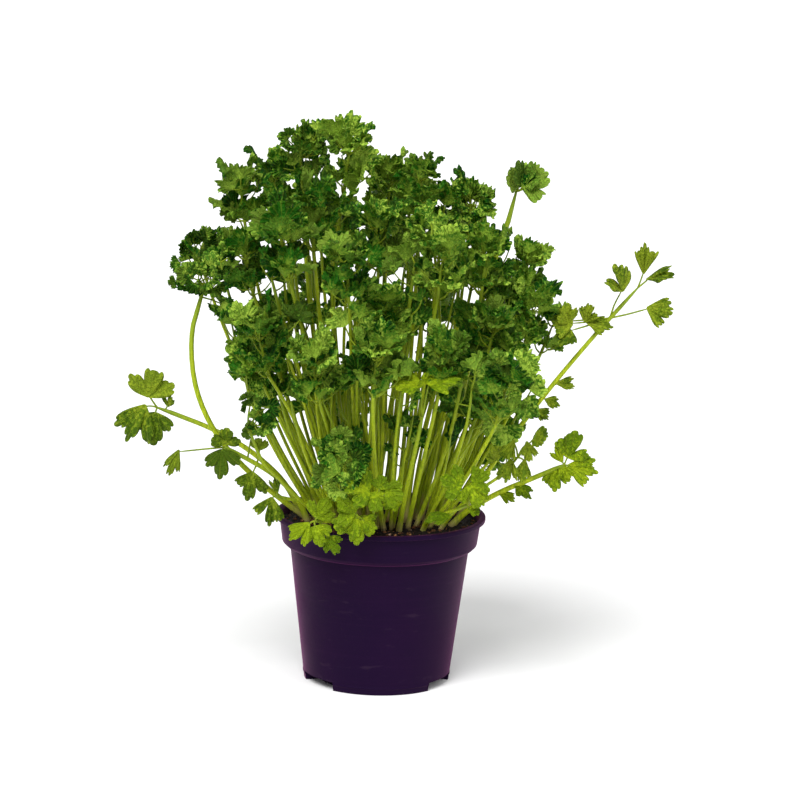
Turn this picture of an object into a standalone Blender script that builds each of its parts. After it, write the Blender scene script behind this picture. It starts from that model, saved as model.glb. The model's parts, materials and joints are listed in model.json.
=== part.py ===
"""Potted curly parsley: a nursery pot, the compost filling it and the fronds growing out of it.

The pot stands on the XY plane with its axis on Z. The side of the plant that is seen first
faces -Y. Every frond is one piece: a leaf stalk that comes up out of the compost, a pair of
side leaflets below its tip and a whorl of three leaflets around the tip.
"""

import math
import random
from dataclasses import dataclass

import bmesh
import bpy
import numpy as np
from mathutils import Vector
from mathutils.bvhtree import BVHTree

MM = 0.001
SEAT_GAP = 0.3 * MM
UP = Vector((0.0, 0.0, 1.0))
OVERHEAD = 1.0

# ---- nursery pot: radius and height of the outside and the inside, millimetres ----
POT_SIDES = 48
POT_HEIGHT = 96.0
LIP_RADIUS = 60.0
FLOOR_THICKNESS = 1.2
POT_OUTSIDE = (
    (0.0, 0.0),
    (41.5, 0.0),
    (51.0, 77.0),
    (53.5, 78.0),
    (55.6, 80.0),
    (57.4, 93.2),
    (LIP_RADIUS, 93.6),
    (LIP_RADIUS, 95.4),
    (59.4, POT_HEIGHT),
)
POT_INSIDE = (
    (57.0, POT_HEIGHT),
    (56.3, 95.0),
    (54.5, 80.6),
    (52.7, 79.2),
    (49.8, 78.0),
    (40.4, FLOOR_THICKNESS),
    (0.0, FLOOR_THICKNESS),
)

# ---- drainage pockets between the three feet ----
FOOT_COUNT = 3
FIRST_FOOT_AZIMUTH = math.radians(-85.0)
POCKET_HALF_ANGLE = math.radians(19.5)
POCKET_INNER_RADIUS = 33.0
POCKET_HEIGHT = 5.0
POCKET_WALL = 1.2
POCKET_ARC_STEPS = 4
HOUSING_OUTER_RADIUS = 41.4
HOUSING_FOOT_HEIGHT = 0.6
RECESS_OUTER_RADIUS = 46.0
RECESS_FOOT_HEIGHT = -2.0
DRAIN_RADIUS = 2.8
DRAIN_CENTRE_RADIUS = 37.3
DRAIN_OFFSET = math.radians(9.0)
DRAIN_SIDES = 12
DRAIN_CUT_LENGTH = 6.0
POT_CREASE = math.radians(28.0)

# ---- compost ----
COMPOST_SIDES = 30
COMPOST_EDGE_HEIGHT = 91.0
COMPOST_MOUND = 3.5
COMPOST_RINGS = (48.0, 38.0, 27.0, 15.0)
COMPOST_LUMP = 0.7
COMPOST_CREASE = math.radians(50.0)
NOTCH_EASE = 0.5
COMPOST_SEED = 11

# ---- leaf stalks ----
STALK_SIDES = 6
STALK_POINTS = 6
FORK = STALK_POINTS - 2
TIP = STALK_POINTS - 1
STALK_BASE_RADIUS = 1.6 * MM
STALK_TIP_RADIUS = 1.1 * MM
FORK_HALF_HEIGHT = 1.6 * MM
BUD_LENGTH = 0.6 * MM
SIDE_LIFT = 0.02
ROOTING_RADIUS = 43.0 * MM
ROOTING_SPACING = 6.6 * MM
ROOTING_SHARE = 0.42
LOW_ROOTING_SHARE = 1.2
ROOTING_NUDGE = 0.5 * MM
ROOTING_STEPS = 400
ROOTING_RATE = 0.35
FULL_HEIGHT = 300.0 * MM

# ---- leaflets ----
RIM_POINTS = 7
RIM_SPREAD = math.radians(47.0)
RIM_TAPER = 0.14
RUFFLE_SAG = 0.6
HOLLOW_PLACE = 0.48
HOLLOW_DEPTH = 0.6 * MM
BLADE_THICKNESS = 1.0 * MM
NECK_WIDTH = 2.0 * MM
NECK_THICKNESS = 1.3 * MM
WHORL_FACES = (0, 2, 4)
PAIR_FACES = (1, 4)
FLAT_LEAF_FACING = Vector((0.0, -0.75, 0.66))
FLAT_LEAF_TILT = 0.22

# ---- how the fronds are kept from growing through each other ----
# A blade counts as four rounded rods from its neck; ends and girth are shares of its length.
BLADE_RODS = ((0.55, -0.55), (0.78, -0.22), (0.78, 0.22), (0.55, 0.55))
BLADE_ROD_RADIUS = 0.22
CLEARANCE = 0.8 * MM
LIP_INNER_REACH = 51.0 * MM
HEAP_CLEARANCE = 1.0
JOSTLE_STEPS = 320
JOSTLE_RATE = 0.45
DEPTH_BIAS = np.array((0.45, 1.0, 0.45))
HOME_PULL = np.array((0.03, 0.010, 0.03))
STIFFNESS = 0.2
PARTING = 0.2


@dataclass(frozen=True)
class Habit:
    """How one sort of frond carries its leaflets; lengths in millimetres, angles in radians."""

    leaf: float
    stem: float
    pair_stem: float
    drop: float
    rise: float
    pair_rise: float
    lift: float
    notch: float
    ruffle: float
    has_pair: bool
    is_flat: bool
    finish: str


CURLY = Habit(21.0, 5.0, 7.0, 20.0, 0.60, 0.50, 0.35, 0.10, 1.5, True, False, "mature")
SMALL_CURLY = Habit(16.0, 4.0, 6.0, 16.0, 0.60, 0.50, 0.35, 0.10, 1.2, True, False, "mature")
OPEN = Habit(17.0, 9.0, 17.0, 30.0, 0.60, 0.45, 0.20, 0.16, 1.0, True, False, "mature")
FLAT = Habit(17.0, 7.0, 9.0, 22.0, 0.30, 0.25, 0.05, 0.26, 0.6, True, True, "young")
BRIGHT = Habit(17.0, 6.0, 7.0, 16.0, 0.35, 0.30, 0.10, 0.20, 0.8, False, False, "young")
SEEDLING = Habit(14.0, 5.0, 5.0, 12.0, 0.05, 0.30, 0.10, 0.26, 0.5, False, True, "young")
HANGING = Habit(15.0, 5.0, 5.0, 12.0, -0.15, 0.00, -0.60, 0.26, 0.5, False, True, "young")


@dataclass(frozen=True)
class Planting:
    """One frond: where its tip stands (mm), how it is leafed and how its stalk bows."""

    name: str
    tip: tuple
    habit: Habit
    bow: float = 0.12
    turn: float = 0.0


# The fronds that make the outline and the front of the plant. Bow is positive for a stalk
# that leaves the pot low and turns up, negative for one that stands up and then leans out.
PLANTED = (
    Planting("crown_left", (-50, 10, 296), CURLY),
    Planting("crown_right", (-27, -5, 297), CURLY, turn=0.5),
    Planting("shoulder_left", (-79, 0, 270), CURLY, turn=0.2),
    Planting("shoulder_back", (-62, 32, 274), CURLY, turn=1.0),
    Planting("crown_front", (-35, -28, 272), CURLY, turn=0.3),
    Planting("fan_back", (0, 22, 281), CURLY, turn=0.8),
    Planting("fan_middle", (20, 0, 288), SMALL_CURLY),
    Planting("fan_right", (48, -8, 266), CURLY, turn=0.1),
    Planting("outlier_right", (78, 5, 281), SMALL_CURLY, turn=0.4),
    Planting("heart_left", (-12, -30, 260), CURLY, turn=0.6),
    Planting("wing_left_high", (-105, 8, 241), CURLY, turn=0.2),
    Planting("wing_left_arch", (-106, -12, 223), CURLY, bow=0.55, turn=0.4),
    Planting("left_high", (-77, -20, 244), CURLY, turn=0.9),
    Planting("left_heart", (-52, -38, 255), CURLY, turn=0.1),
    Planting("middle_high", (-27, -46, 240), CURLY, turn=0.7),
    Planting("right_heart", (30, -32, 245), CURLY, turn=0.3),
    Planting("right_high", (60, -12, 240), CURLY, turn=0.7),
    Planting("wing_right", (84, 15, 238), SMALL_CURLY, turn=0.1),
    Planting("wing_right_low", (71, -20, 221), CURLY, turn=0.9),
    Planting("left_middle", (-82, -12, 207), CURLY, turn=0.3),
    Planting("left_front", (-52, -46, 207), CURLY, turn=0.8),
    Planting("middle_front", (-2, -42, 223), CURLY, turn=0.2),
    Planting("skirt_left", (-77, -20, 183), SMALL_CURLY, turn=0.1),
    Planting("skirt_left_front", (-64, -42, 162), CURLY, turn=0.5),
    Planting("skirt_middle_left", (-33, -52, 190), CURLY, turn=0.9),
    Planting("skirt_middle", (0, -60, 197), CURLY, turn=0.4),
    Planting("skirt_middle_right", (30, -56, 192), CURLY, turn=0.0),
    Planting("right_middle", (56, -34, 210), CURLY, turn=0.5),
    Planting("right_skirt", (62, -46, 188), CURLY, turn=0.2),
    Planting("right_skirt_low", (67, -34, 166), CURLY, turn=0.8),
    Planting("bright_leaf", (22, -60, 172), BRIGHT, bow=-0.05),
    Planting("outer_right", (98, 0, 203), SMALL_CURLY, turn=0.3),
    Planting("long_branch", (140, 0, 228), OPEN, bow=-0.1, turn=0.0),
    Planting("low_right", (99, -22, 130), FLAT, bow=-0.25),
    Planting("low_right_inner", (68, -40, 145), SMALL_CURLY, bow=-0.2, turn=0.3),
    Planting("low_middle", (-18, -60, 140), CURLY, bow=-0.1, turn=0.6),
    Planting("low_left", (-126, 0, 152), FLAT, bow=-0.45),
    Planting("low_left_inner", (-87, -20, 137), FLAT, bow=-0.45),
    Planting("rim_left", (-57, -26, 109), HANGING, bow=-0.7),
    Planting("rim_front_left", (-34, -60, 106), HANGING, bow=-0.7),
    Planting("rim_front", (-12, -67, 106), HANGING, bow=-0.7),
    Planting("young_middle", (-4, -50, 120), SEEDLING, bow=-0.3),
    Planting("young_right", (47, -44, 117), SEEDLING, bow=-0.55),
)

# The fronds behind: tiers of height, reach from the pot's axis, how many stand in each and
# how far round the back the first of them stands.
BACK_TIERS = (
    (268.0, 40.0, 1, 0.55),
    (246.0, 62.0, 2, 0.20),
    (210.0, 76.0, 3, 0.05),
    (172.0, 80.0, 3, 0.20),
    (136.0, 72.0, 2, 0.10),
)
BACK_FROM = math.radians(15.0)
BACK_TO = math.radians(165.0)
BACK_REACH_SPREAD = 6.0
BACK_HEIGHT_SPREAD = 8.0
BACK_SEED = 29

# ---- finishes ----
FINISHES = {
    "pot": ((0.030, 0.016, 0.045), 0.38),
    "compost": ((0.035, 0.022, 0.014), 0.95),
    "mature": ((0.045, 0.150, 0.018), 0.55),
    "young": ((0.220, 0.420, 0.030), 0.50),
}


def clear_scene():
    """Start from an empty file."""
    for thing in list(bpy.data.objects):
        bpy.data.objects.remove(thing, do_unlink=True)


def make_finish(name):
    """Return the material for one of the named finishes."""
    colour, roughness = FINISHES[name]
    material = bpy.data.materials.new(name)
    material.use_nodes = True
    shader = material.node_tree.nodes["Principled BSDF"]
    shader.inputs["Base Color"].default_value = (*colour, 1.0)
    shader.inputs["Roughness"].default_value = roughness
    material.diffuse_color = (*colour, 1.0)
    return material


def add_object(name, mesh_builder, finish=None, sharp_angle=None):
    """Turn a bmesh into a named object, closed and with its faces turned outwards."""
    bmesh.ops.recalc_face_normals(mesh_builder, faces=mesh_builder.faces)
    mesh = bpy.data.meshes.new(name)
    mesh_builder.to_mesh(mesh)
    mesh_builder.free()
    if sharp_angle is not None:
        mesh.shade_smooth()
        mesh.set_sharp_from_angle(angle=sharp_angle)
    thing = bpy.data.objects.new(name, mesh)
    bpy.context.scene.collection.objects.link(thing)
    if finish is not None:
        mesh.materials.append(finish)
    return thing


def polar(radius, azimuth, height):
    """Return a point from its radius and height in millimetres and its azimuth."""
    x = radius * math.cos(azimuth)
    y = radius * math.sin(azimuth)
    return Vector((x, y, height)) * MM


def lathe(profile, sides):
    """Return a bmesh turned from a profile that starts and ends on the axis."""
    builder = bmesh.new()
    first = builder.verts.new(polar(0.0, 0.0, profile[0][1]))
    last = builder.verts.new(polar(0.0, 0.0, profile[-1][1]))
    rings = []
    for radius, height in profile[1:-1]:
        ring = []
        for side in range(sides):
            azimuth = math.tau * side / sides
            ring.append(builder.verts.new(polar(radius, azimuth, height)))
        rings.append(ring)
    for side in range(sides):
        after = (side + 1) % sides
        builder.faces.new((first, rings[0][after], rings[0][side]))
        builder.faces.new((last, rings[-1][side], rings[-1][after]))
        for lower, upper in zip(rings, rings[1:]):
            builder.faces.new((lower[side], lower[after], upper[after], upper[side]))
    return builder


def arc_block(inner, outer, middle, half_angle, bottom, top):
    """Return a bmesh of a curved block between two radii, two azimuths and two heights."""
    builder = bmesh.new()
    stations = []
    for step in range(POCKET_ARC_STEPS + 1):
        azimuth = middle - half_angle + 2.0 * half_angle * step / POCKET_ARC_STEPS
        corners = ((inner, bottom), (outer, bottom), (outer, top), (inner, top))
        stations.append([builder.verts.new(polar(r, azimuth, z)) for r, z in corners])
    for near, far in zip(stations, stations[1:]):
        for corner in range(4):
            after = (corner + 1) % 4
            builder.faces.new((near[corner], near[after], far[after], far[corner]))
    builder.faces.new(stations[0])
    builder.faces.new(reversed(stations[-1]))
    return builder


def add_boolean(target, tool, operation):
    """Join or cut one solid with another that is left out of the finished part."""
    tool.hide_render = True
    tool.display_type = "WIRE"
    modifier = target.modifiers.new(tool.name, "BOOLEAN")
    modifier.operation = operation
    modifier.solver = "EXACT"
    modifier.object = tool


def pocket_azimuths():
    """Return the azimuth of the middle of each drainage pocket."""
    half_pitch = math.pi / FOOT_COUNT
    return [FIRST_FOOT_AZIMUTH + half_pitch * (2 * foot + 1) for foot in range(FOOT_COUNT)]


def build_pot(finish):
    """Build the pot: turned wall, raised drainage pockets between the feet, drain holes."""
    pot = add_object("pot", lathe(POT_OUTSIDE + POT_INSIDE, POT_SIDES), finish, POT_CREASE)
    housing_half = POCKET_HALF_ANGLE + POCKET_WALL / POCKET_INNER_RADIUS
    roof = POCKET_HEIGHT + POCKET_WALL
    for number, azimuth in enumerate(pocket_azimuths(), 1):
        inner = POCKET_INNER_RADIUS - POCKET_WALL
        housing = arc_block(
            inner, HOUSING_OUTER_RADIUS, azimuth, housing_half, HOUSING_FOOT_HEIGHT, roof
        )
        add_boolean(pot, add_object(f"pocket_housing_{number}", housing), "UNION")
    for number, azimuth in enumerate(pocket_azimuths(), 1):
        recess = arc_block(
            POCKET_INNER_RADIUS,
            RECESS_OUTER_RADIUS,
            azimuth,
            POCKET_HALF_ANGLE,
            RECESS_FOOT_HEIGHT,
            POCKET_HEIGHT,
        )
        add_boolean(pot, add_object(f"pocket_recess_{number}", recess), "DIFFERENCE")
        for side in (-1, 1):
            drain = bmesh.new()
            bmesh.ops.create_cone(
                drain,
                cap_ends=True,
                segments=DRAIN_SIDES,
                radius1=DRAIN_RADIUS * MM,
                radius2=DRAIN_RADIUS * MM,
                depth=DRAIN_CUT_LENGTH * MM,
            )
            height = roof - 0.5 * POCKET_WALL
            place = polar(DRAIN_CENTRE_RADIUS, azimuth + side * DRAIN_OFFSET, height)
            bmesh.ops.translate(drain, verts=drain.verts, vec=place)
            add_boolean(pot, add_object(f"drain_{number}_{side}", drain), "DIFFERENCE")
    return pot


def inset(profile, gap):
    """Return a profile moved towards the axis and up by a gap measured square to it."""
    moved = []
    for index, (radius, height) in enumerate(profile):
        before = profile[max(index - 1, 0)]
        after = profile[min(index + 1, len(profile) - 1)]
        along = Vector((after[0] - before[0], after[1] - before[1])).normalized()
        moved.append((max(radius + along.y * gap, 0.0), height - along.x * gap))
    return moved


def build_compost(finish):
    """Build the compost: it fills the pot to just under the lip and is heaped in the middle."""
    chance = random.Random(COMPOST_SEED)
    gap = SEAT_GAP / MM
    wall = [point for point in inset(POT_INSIDE, gap) if point[1] < COMPOST_EDGE_HEIGHT]
    wall.reverse()
    foot, head = POT_INSIDE[2], POT_INSIDE[1]
    share = (COMPOST_EDGE_HEIGHT - foot[1]) / (head[1] - foot[1])
    edge = foot[0] + (head[0] - foot[0]) * share - gap
    profile = wall + [(edge, COMPOST_EDGE_HEIGHT)]
    for radius in COMPOST_RINGS:
        heap = COMPOST_MOUND * math.cos(0.5 * math.pi * radius / edge)
        profile.append((radius, COMPOST_EDGE_HEIGHT + heap))
    profile.append((0.0, COMPOST_EDGE_HEIGHT + COMPOST_MOUND))
    builder = lathe(profile, COMPOST_SIDES)
    for vert in builder.verts:
        inside = vert.co.xy.length < (COMPOST_RINGS[0] + 1.0) * MM
        if inside and vert.co.z > COMPOST_EDGE_HEIGHT * MM:
            vert.co.z += chance.uniform(-COMPOST_LUMP, COMPOST_LUMP) * MM
    compost = add_object("compost", builder, finish, COMPOST_CREASE)
    inner = POCKET_INNER_RADIUS - POCKET_WALL - NOTCH_EASE
    roof = POCKET_HEIGHT + POCKET_WALL + gap
    notch_half = POCKET_HALF_ANGLE + (POCKET_WALL + NOTCH_EASE) / POCKET_INNER_RADIUS
    for number, azimuth in enumerate(pocket_azimuths(), 1):
        notch = arc_block(
            inner, RECESS_OUTER_RADIUS, azimuth, notch_half, RECESS_FOOT_HEIGHT, roof
        )
        add_boolean(compost, add_object(f"pocket_notch_{number}", notch), "DIFFERENCE")
    return compost


def back_plantings():
    """Return the fronds of the far side, spread evenly over their tiers."""
    chance = random.Random(BACK_SEED)
    plantings = []
    for height, reach, count, first in BACK_TIERS:
        for place in range(count):
            share = first + place / count
            azimuth = BACK_FROM + (BACK_TO - BACK_FROM) * share
            radius = reach + chance.uniform(-BACK_REACH_SPREAD, BACK_REACH_SPREAD)
            tip = (
                radius * math.cos(azimuth),
                radius * math.sin(azimuth),
                height + chance.uniform(-BACK_HEIGHT_SPREAD, BACK_HEIGHT_SPREAD),
            )
            name = f"back_{len(plantings) + 1:02d}"
            plantings.append(Planting(name, tip, CURLY, turn=chance.uniform(0.0, 1.0)))
    return plantings


def rooting_points(tips):
    """Return where each stalk leaves the compost: towards its own tip, and none too close."""
    tips = np.array(tips)
    points = tips[:, :2]
    reach = np.linalg.norm(points, axis=1, keepdims=True)
    share = ROOTING_SHARE * (1.0 + LOW_ROOTING_SHARE * (1.0 - tips[:, 2:] / FULL_HEIGHT))
    points = points / reach * ROOTING_RADIUS * np.tanh(share * reach / ROOTING_RADIUS)
    order = np.arange(len(points))
    points += ROOTING_NUDGE * np.stack((np.cos(order), np.sin(order)), axis=1)
    for _ in range(ROOTING_STEPS):
        apart = points[:, None] - points[None, :]
        distance = np.linalg.norm(apart, axis=2) + np.eye(len(points))
        push = np.clip(ROOTING_SPACING - distance, 0.0, None) * (1.0 - np.eye(len(points)))
        points += ROOTING_RATE * (apart / distance[..., None] * push[..., None]).sum(axis=1)
        reach = np.linalg.norm(points, axis=1, keepdims=True)
        points *= np.minimum(1.0, ROOTING_RADIUS / reach)
    return points


@dataclass
class Leaflet:
    """One leaflet: the stalk point it grows from, its own stem and the way its blade faces."""

    anchor: int
    face: int
    stem: float
    forward: Vector
    across: Vector
    upward: Vector


@dataclass
class Frond:
    """A frond while it is being laid out."""

    planting: Planting
    points: np.ndarray
    side: Vector
    leaflets: list


def stalk_points(foot, tip, bow, fork_drop):
    """Return points up a bowed stalk; the last two are the fork and the tip."""
    foot, tip = Vector(foot), Vector(tip)
    chord = tip - foot
    length = chord.length
    outward = Vector((chord.x, chord.y, 0.0)).normalized()
    leaving = (chord / length + outward * bow).normalized() * length
    arriving = (chord / length - outward * bow).normalized() * length
    fork_share = 1.0 - fork_drop / length
    shares = [fork_share * index / FORK for index in range(FORK + 1)] + [1.0]
    points = []
    for t in shares:
        h00 = 2 * t**3 - 3 * t**2 + 1
        h10 = t**3 - 2 * t**2 + t
        h01 = -2 * t**3 + 3 * t**2
        h11 = t**3 - t**2
        points.append(foot * h00 + leaving * h10 + tip * h01 + arriving * h11)
    return np.array([tuple(point) for point in points])


def stalk_phase(index):
    """Return how far the six sides are turned at one stalk point; only the tip is not."""
    return 0.0 if index == TIP else math.radians(30.0)


def face_direction(frame, phase, face):
    """Return the way one side face of the stalk looks."""
    _, first, second = frame
    azimuth = math.tau * face / STALK_SIDES + phase
    return first * math.cos(azimuth) + second * math.sin(azimuth)


def add_blade(leaflets, anchor, frame, stem, forward, facing):
    """Add a leaflet that points forward, grown from the free side face nearest to its way."""
    forward = forward.normalized()
    phase = stalk_phase(anchor)
    taken = {leaflet.face for leaflet in leaflets if leaflet.anchor == anchor}
    free = [face for face in range(STALK_SIDES) if face not in taken]
    face = max(free, key=lambda side: face_direction(frame, phase, side).dot(forward))
    upward = (facing - forward * facing.dot(forward)).normalized()
    leaflets.append(Leaflet(anchor, face, stem * MM, forward, forward.cross(upward), upward))


def cupped_leaflets(habit, frame):
    """Return the leaflets of a curly frond: they stand around the stalk like an open cup."""
    groups = [(TIP, WHORL_FACES, habit.stem, habit.rise)]
    if habit.has_pair:
        groups.append((FORK, PAIR_FACES, habit.pair_stem, habit.pair_rise))
    leaflets = []
    for anchor, faces, stem, rise in groups:
        for face in faces:
            outward = face_direction(frame, stalk_phase(anchor), face)
            forward = outward * math.cos(rise) + frame[0] * math.sin(rise) + UP * habit.lift
            add_blade(leaflets, anchor, frame, stem, forward, frame[0])
    return leaflets


def flat_leaflets(habit, frame):
    """Return the leaflets of a young frond: one ahead and the others to its two sides."""
    along, back, side = frame
    facing = -back
    leaflets = []
    ahead = along - facing * FLAT_LEAF_TILT + UP * habit.lift
    add_blade(leaflets, TIP, frame, habit.stem, ahead, facing)
    groups = [(TIP, habit.stem, habit.rise, FLAT_LEAF_TILT)]
    if habit.has_pair:
        groups.append((FORK, habit.pair_stem, habit.pair_rise, -FLAT_LEAF_TILT))
    for anchor, stem, rise, tilt in groups:
        for way in (side, -side):
            forward = way * math.cos(rise) + along * math.sin(rise)
            forward += facing * tilt + UP * habit.lift
            add_blade(leaflets, anchor, frame, stem, forward, facing)
    return leaflets


def frame_along(along, side):
    """Return an axis and two directions square to it, the first one nearest to `side`."""
    along = along.normalized()
    first = (side - along * side.dot(along)).normalized()
    return along, first, along.cross(first)


def lay_out(planting, foot):
    """Return a frond with its stalk bowed from its root to its tip and its leaflets set."""
    habit = planting.habit
    tip = Vector(planting.tip) * MM
    points = stalk_points(foot, tip, planting.bow, habit.drop * MM)
    along = Vector(points[TIP] - points[FORK])
    if habit.is_flat:
        side = -FLAT_LEAF_FACING
        leaflets = flat_leaflets(habit, frame_along(along, side))
    else:
        angle = math.pi * planting.turn
        side = Vector((math.cos(angle), math.sin(angle), SIDE_LIFT))
        leaflets = cupped_leaflets(habit, frame_along(along, side))
    return Frond(planting, points, side, leaflets)


def nearest_on_rods(start_a, end_a, start_b, end_b):
    """Return how far along each rod of every pair the two rods come closest."""
    span_a, span_b, between = end_a - start_a, end_b - start_b, start_a - start_b
    aa = (span_a * span_a).sum(axis=1) + 1e-12
    bb = (span_b * span_b).sum(axis=1) + 1e-12
    ab = (span_a * span_b).sum(axis=1)
    ac = (span_a * between).sum(axis=1)
    bc = (span_b * between).sum(axis=1)
    spread = aa * bb - ab * ab
    share_a = np.clip((ab * bc - ac * bb) / np.maximum(spread, 1e-15), 0.0, 1.0)
    share_b = np.clip((ab * share_a + bc) / bb, 0.0, 1.0)
    share_a = np.clip((ab * share_b - ac) / aa, 0.0, 1.0)
    return share_a, share_b


def rods_of(fronds):
    """Describe every stalk length and every blade as rounded rods fixed to stalk points."""
    lower, upper, offset_a, offset_b, radius, owner = [], [], [], [], [], []
    for number, frond in enumerate(fronds):
        base = number * STALK_POINTS
        for index in range(TIP):
            lower.append(base + index)
            upper.append(base + index + 1)
            offset_a.append((0.0, 0.0, 0.0))
            offset_b.append((0.0, 0.0, 0.0))
            radius.append(STALK_BASE_RADIUS)
            owner.append(number)
        leaf = frond.planting.habit.leaf * MM
        for leaflet in frond.leaflets:
            neck = leaflet.forward * leaflet.stem
            for ahead, aside in BLADE_RODS:
                reach = leaflet.forward * ahead + leaflet.across * aside
                lower.append(base + leaflet.anchor)
                upper.append(base + leaflet.anchor)
                offset_a.append(tuple(neck))
                offset_b.append(tuple(neck + reach * leaf))
                radius.append(BLADE_ROD_RADIUS * leaf)
                owner.append(number)
    arrays = (lower, upper, offset_a, offset_b, radius, owner)
    return [np.array(values) for values in arrays]


def keep_off_pot(points, radius):
    """Return how far points of a given girth must move to stay clear of lip and compost."""
    push = np.zeros_like(points)
    reach = np.linalg.norm(points[:, :2], axis=1)
    over = reach > LIP_INNER_REACH
    sink = POT_HEIGHT * MM + radius + CLEARANCE - points[:, 2]
    outside = LIP_RADIUS * MM + radius + CLEARANCE - reach
    buried = over & (sink > 0.0) & (outside > 0.0)
    climb = buried & (sink <= outside)
    slide = buried & (sink > outside)
    push[climb, 2] = sink[climb]
    direction = points[:, :2] / np.maximum(reach, 1e-6)[:, None]
    push[slide, :2] = direction[slide] * outside[slide, None]
    heap = (COMPOST_EDGE_HEIGHT + COMPOST_MOUND + HEAP_CLEARANCE) * MM + radius
    low = (~over) & (points[:, 2] < heap)
    push[low, 2] = heap[low] - points[low, 2]
    return push


def jostle(fronds):
    """Let the fronds push each other aside until nothing touches, as growing stalks do."""
    lower, upper, offset_a, offset_b, radius, owner = rods_of(fronds)
    points = np.concatenate([frond.points for frond in fronds])
    home = points.copy()
    count = len(fronds)
    first, second = np.triu_indices(len(owner), 1)
    strangers = owner[first] != owner[second]
    first, second = first[strangers], second[strangers]
    bend = np.zeros((count, STALK_POINTS, 3))
    shaped = home.reshape(count, STALK_POINTS, 3)
    bend[:, 1:-1] = shaped[:, 1:-1] - 0.5 * (shaped[:, :-2] + shaped[:, 2:])
    for step in range(JOSTLE_STEPS):
        start = points[lower] + offset_a
        end = points[upper] + offset_b
        middle = 0.5 * (start + end)
        half = 0.5 * np.linalg.norm(end - start, axis=1)
        reach = half + radius
        gap = np.linalg.norm(middle[first] - middle[second], axis=1)
        near = gap < reach[first] + reach[second] + CLEARANCE
        a, b = first[near], second[near]
        share_a, share_b = nearest_on_rods(start[a], end[a], start[b], end[b])
        touch_a = start[a] + (end[a] - start[a]) * share_a[:, None]
        touch_b = start[b] + (end[b] - start[b]) * share_b[:, None]
        apart = touch_a - touch_b
        distance = np.linalg.norm(apart, axis=1)
        depth = radius[a] + radius[b] + CLEARANCE - distance
        hit = depth > 0.0
        move = np.zeros_like(points)
        direction = apart[hit] / np.maximum(distance[hit], 1e-6)[:, None]
        tips = points[TIP::STALK_POINTS]
        parting = tips[owner[a[hit]]] - tips[owner[b[hit]]]
        parting /= np.linalg.norm(parting, axis=1)[:, None]
        direction = (direction + PARTING * parting) * DEPTH_BIAS
        direction /= np.linalg.norm(direction, axis=1)[:, None]
        shove = 0.5 * direction * depth[hit, None] * JOSTLE_RATE
        for rods, share, sign in ((a[hit], share_a[hit], 1.0), (b[hit], share_b[hit], -1.0)):
            np.add.at(move, lower[rods], sign * shove * (1.0 - share)[:, None])
            np.add.at(move, upper[rods], sign * shove * share[:, None])
        for share in (0.0, 0.5, 1.0):
            spot = start + (end - start) * share
            push = keep_off_pot(spot, radius)
            rooted = (lower % STALK_POINTS == 0) & (upper != lower)
            push[rooted] = 0.0
            np.add.at(move, lower, 0.5 * JOSTLE_RATE * push)
            np.add.at(move, upper, 0.5 * JOSTLE_RATE * push)
        calm = min(1.0, 2.0 * (1.0 - step / JOSTLE_STEPS))
        move = move.reshape(count, STALK_POINTS, 3)
        grid = points.reshape(count, STALK_POINTS, 3)
        settle = 0.5 * (grid[:, :-2] + grid[:, 2:]) + bend[:, 1:-1] - grid[:, 1:-1]
        move[:, 1:FORK] += STIFFNESS * settle[:, : FORK - 1]
        head = 0.5 * (move[:, FORK] + move[:, TIP])
        head += calm * HOME_PULL * (home.reshape(count, STALK_POINTS, 3) - grid)[:, TIP]
        move[:, FORK] = head
        move[:, TIP] = head
        move[:, 0] = 0.0
        points = (grid + move).reshape(-1, 3)
    for number, frond in enumerate(fronds):
        frond.points = points[number * STALK_POINTS : (number + 1) * STALK_POINTS]


def rim_offsets(habit):
    """Return the points of a leaflet's scalloped rim: forward, across and up, in metres."""
    leaf = habit.leaf * MM
    offsets = []
    for index in range(RIM_POINTS):
        angle = RIM_SPREAD * (2.0 * index / (RIM_POINTS - 1) - 1.0)
        dip = habit.notch if index % 2 else 0.0
        radius = leaf * (1.0 - dip) * (1.0 - RIM_TAPER * (angle / RIM_SPREAD) ** 2)
        wave = habit.ruffle * MM * (1.0 if index % 2 else -RUFFLE_SAG)
        offsets.append((radius * math.cos(angle), radius * math.sin(angle), wave))
    return offsets


def least_twisted(socket, neck):
    """Return the neck's corners started from the one that twists the stem the least."""
    socket_middle = sum((vert.co for vert in socket), Vector()) / 4
    neck_middle = sum((vert.co for vert in neck), Vector()) / 4
    best = None
    for shift in range(4):
        turned = neck[shift:] + neck[:shift]
        agreement = 0.0
        for near, far in zip(socket, turned):
            agreement += (near.co - socket_middle).dot(far.co - neck_middle)
        if best is None or agreement > best[0]:
            best = (agreement, turned)
    return best[1]


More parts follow.
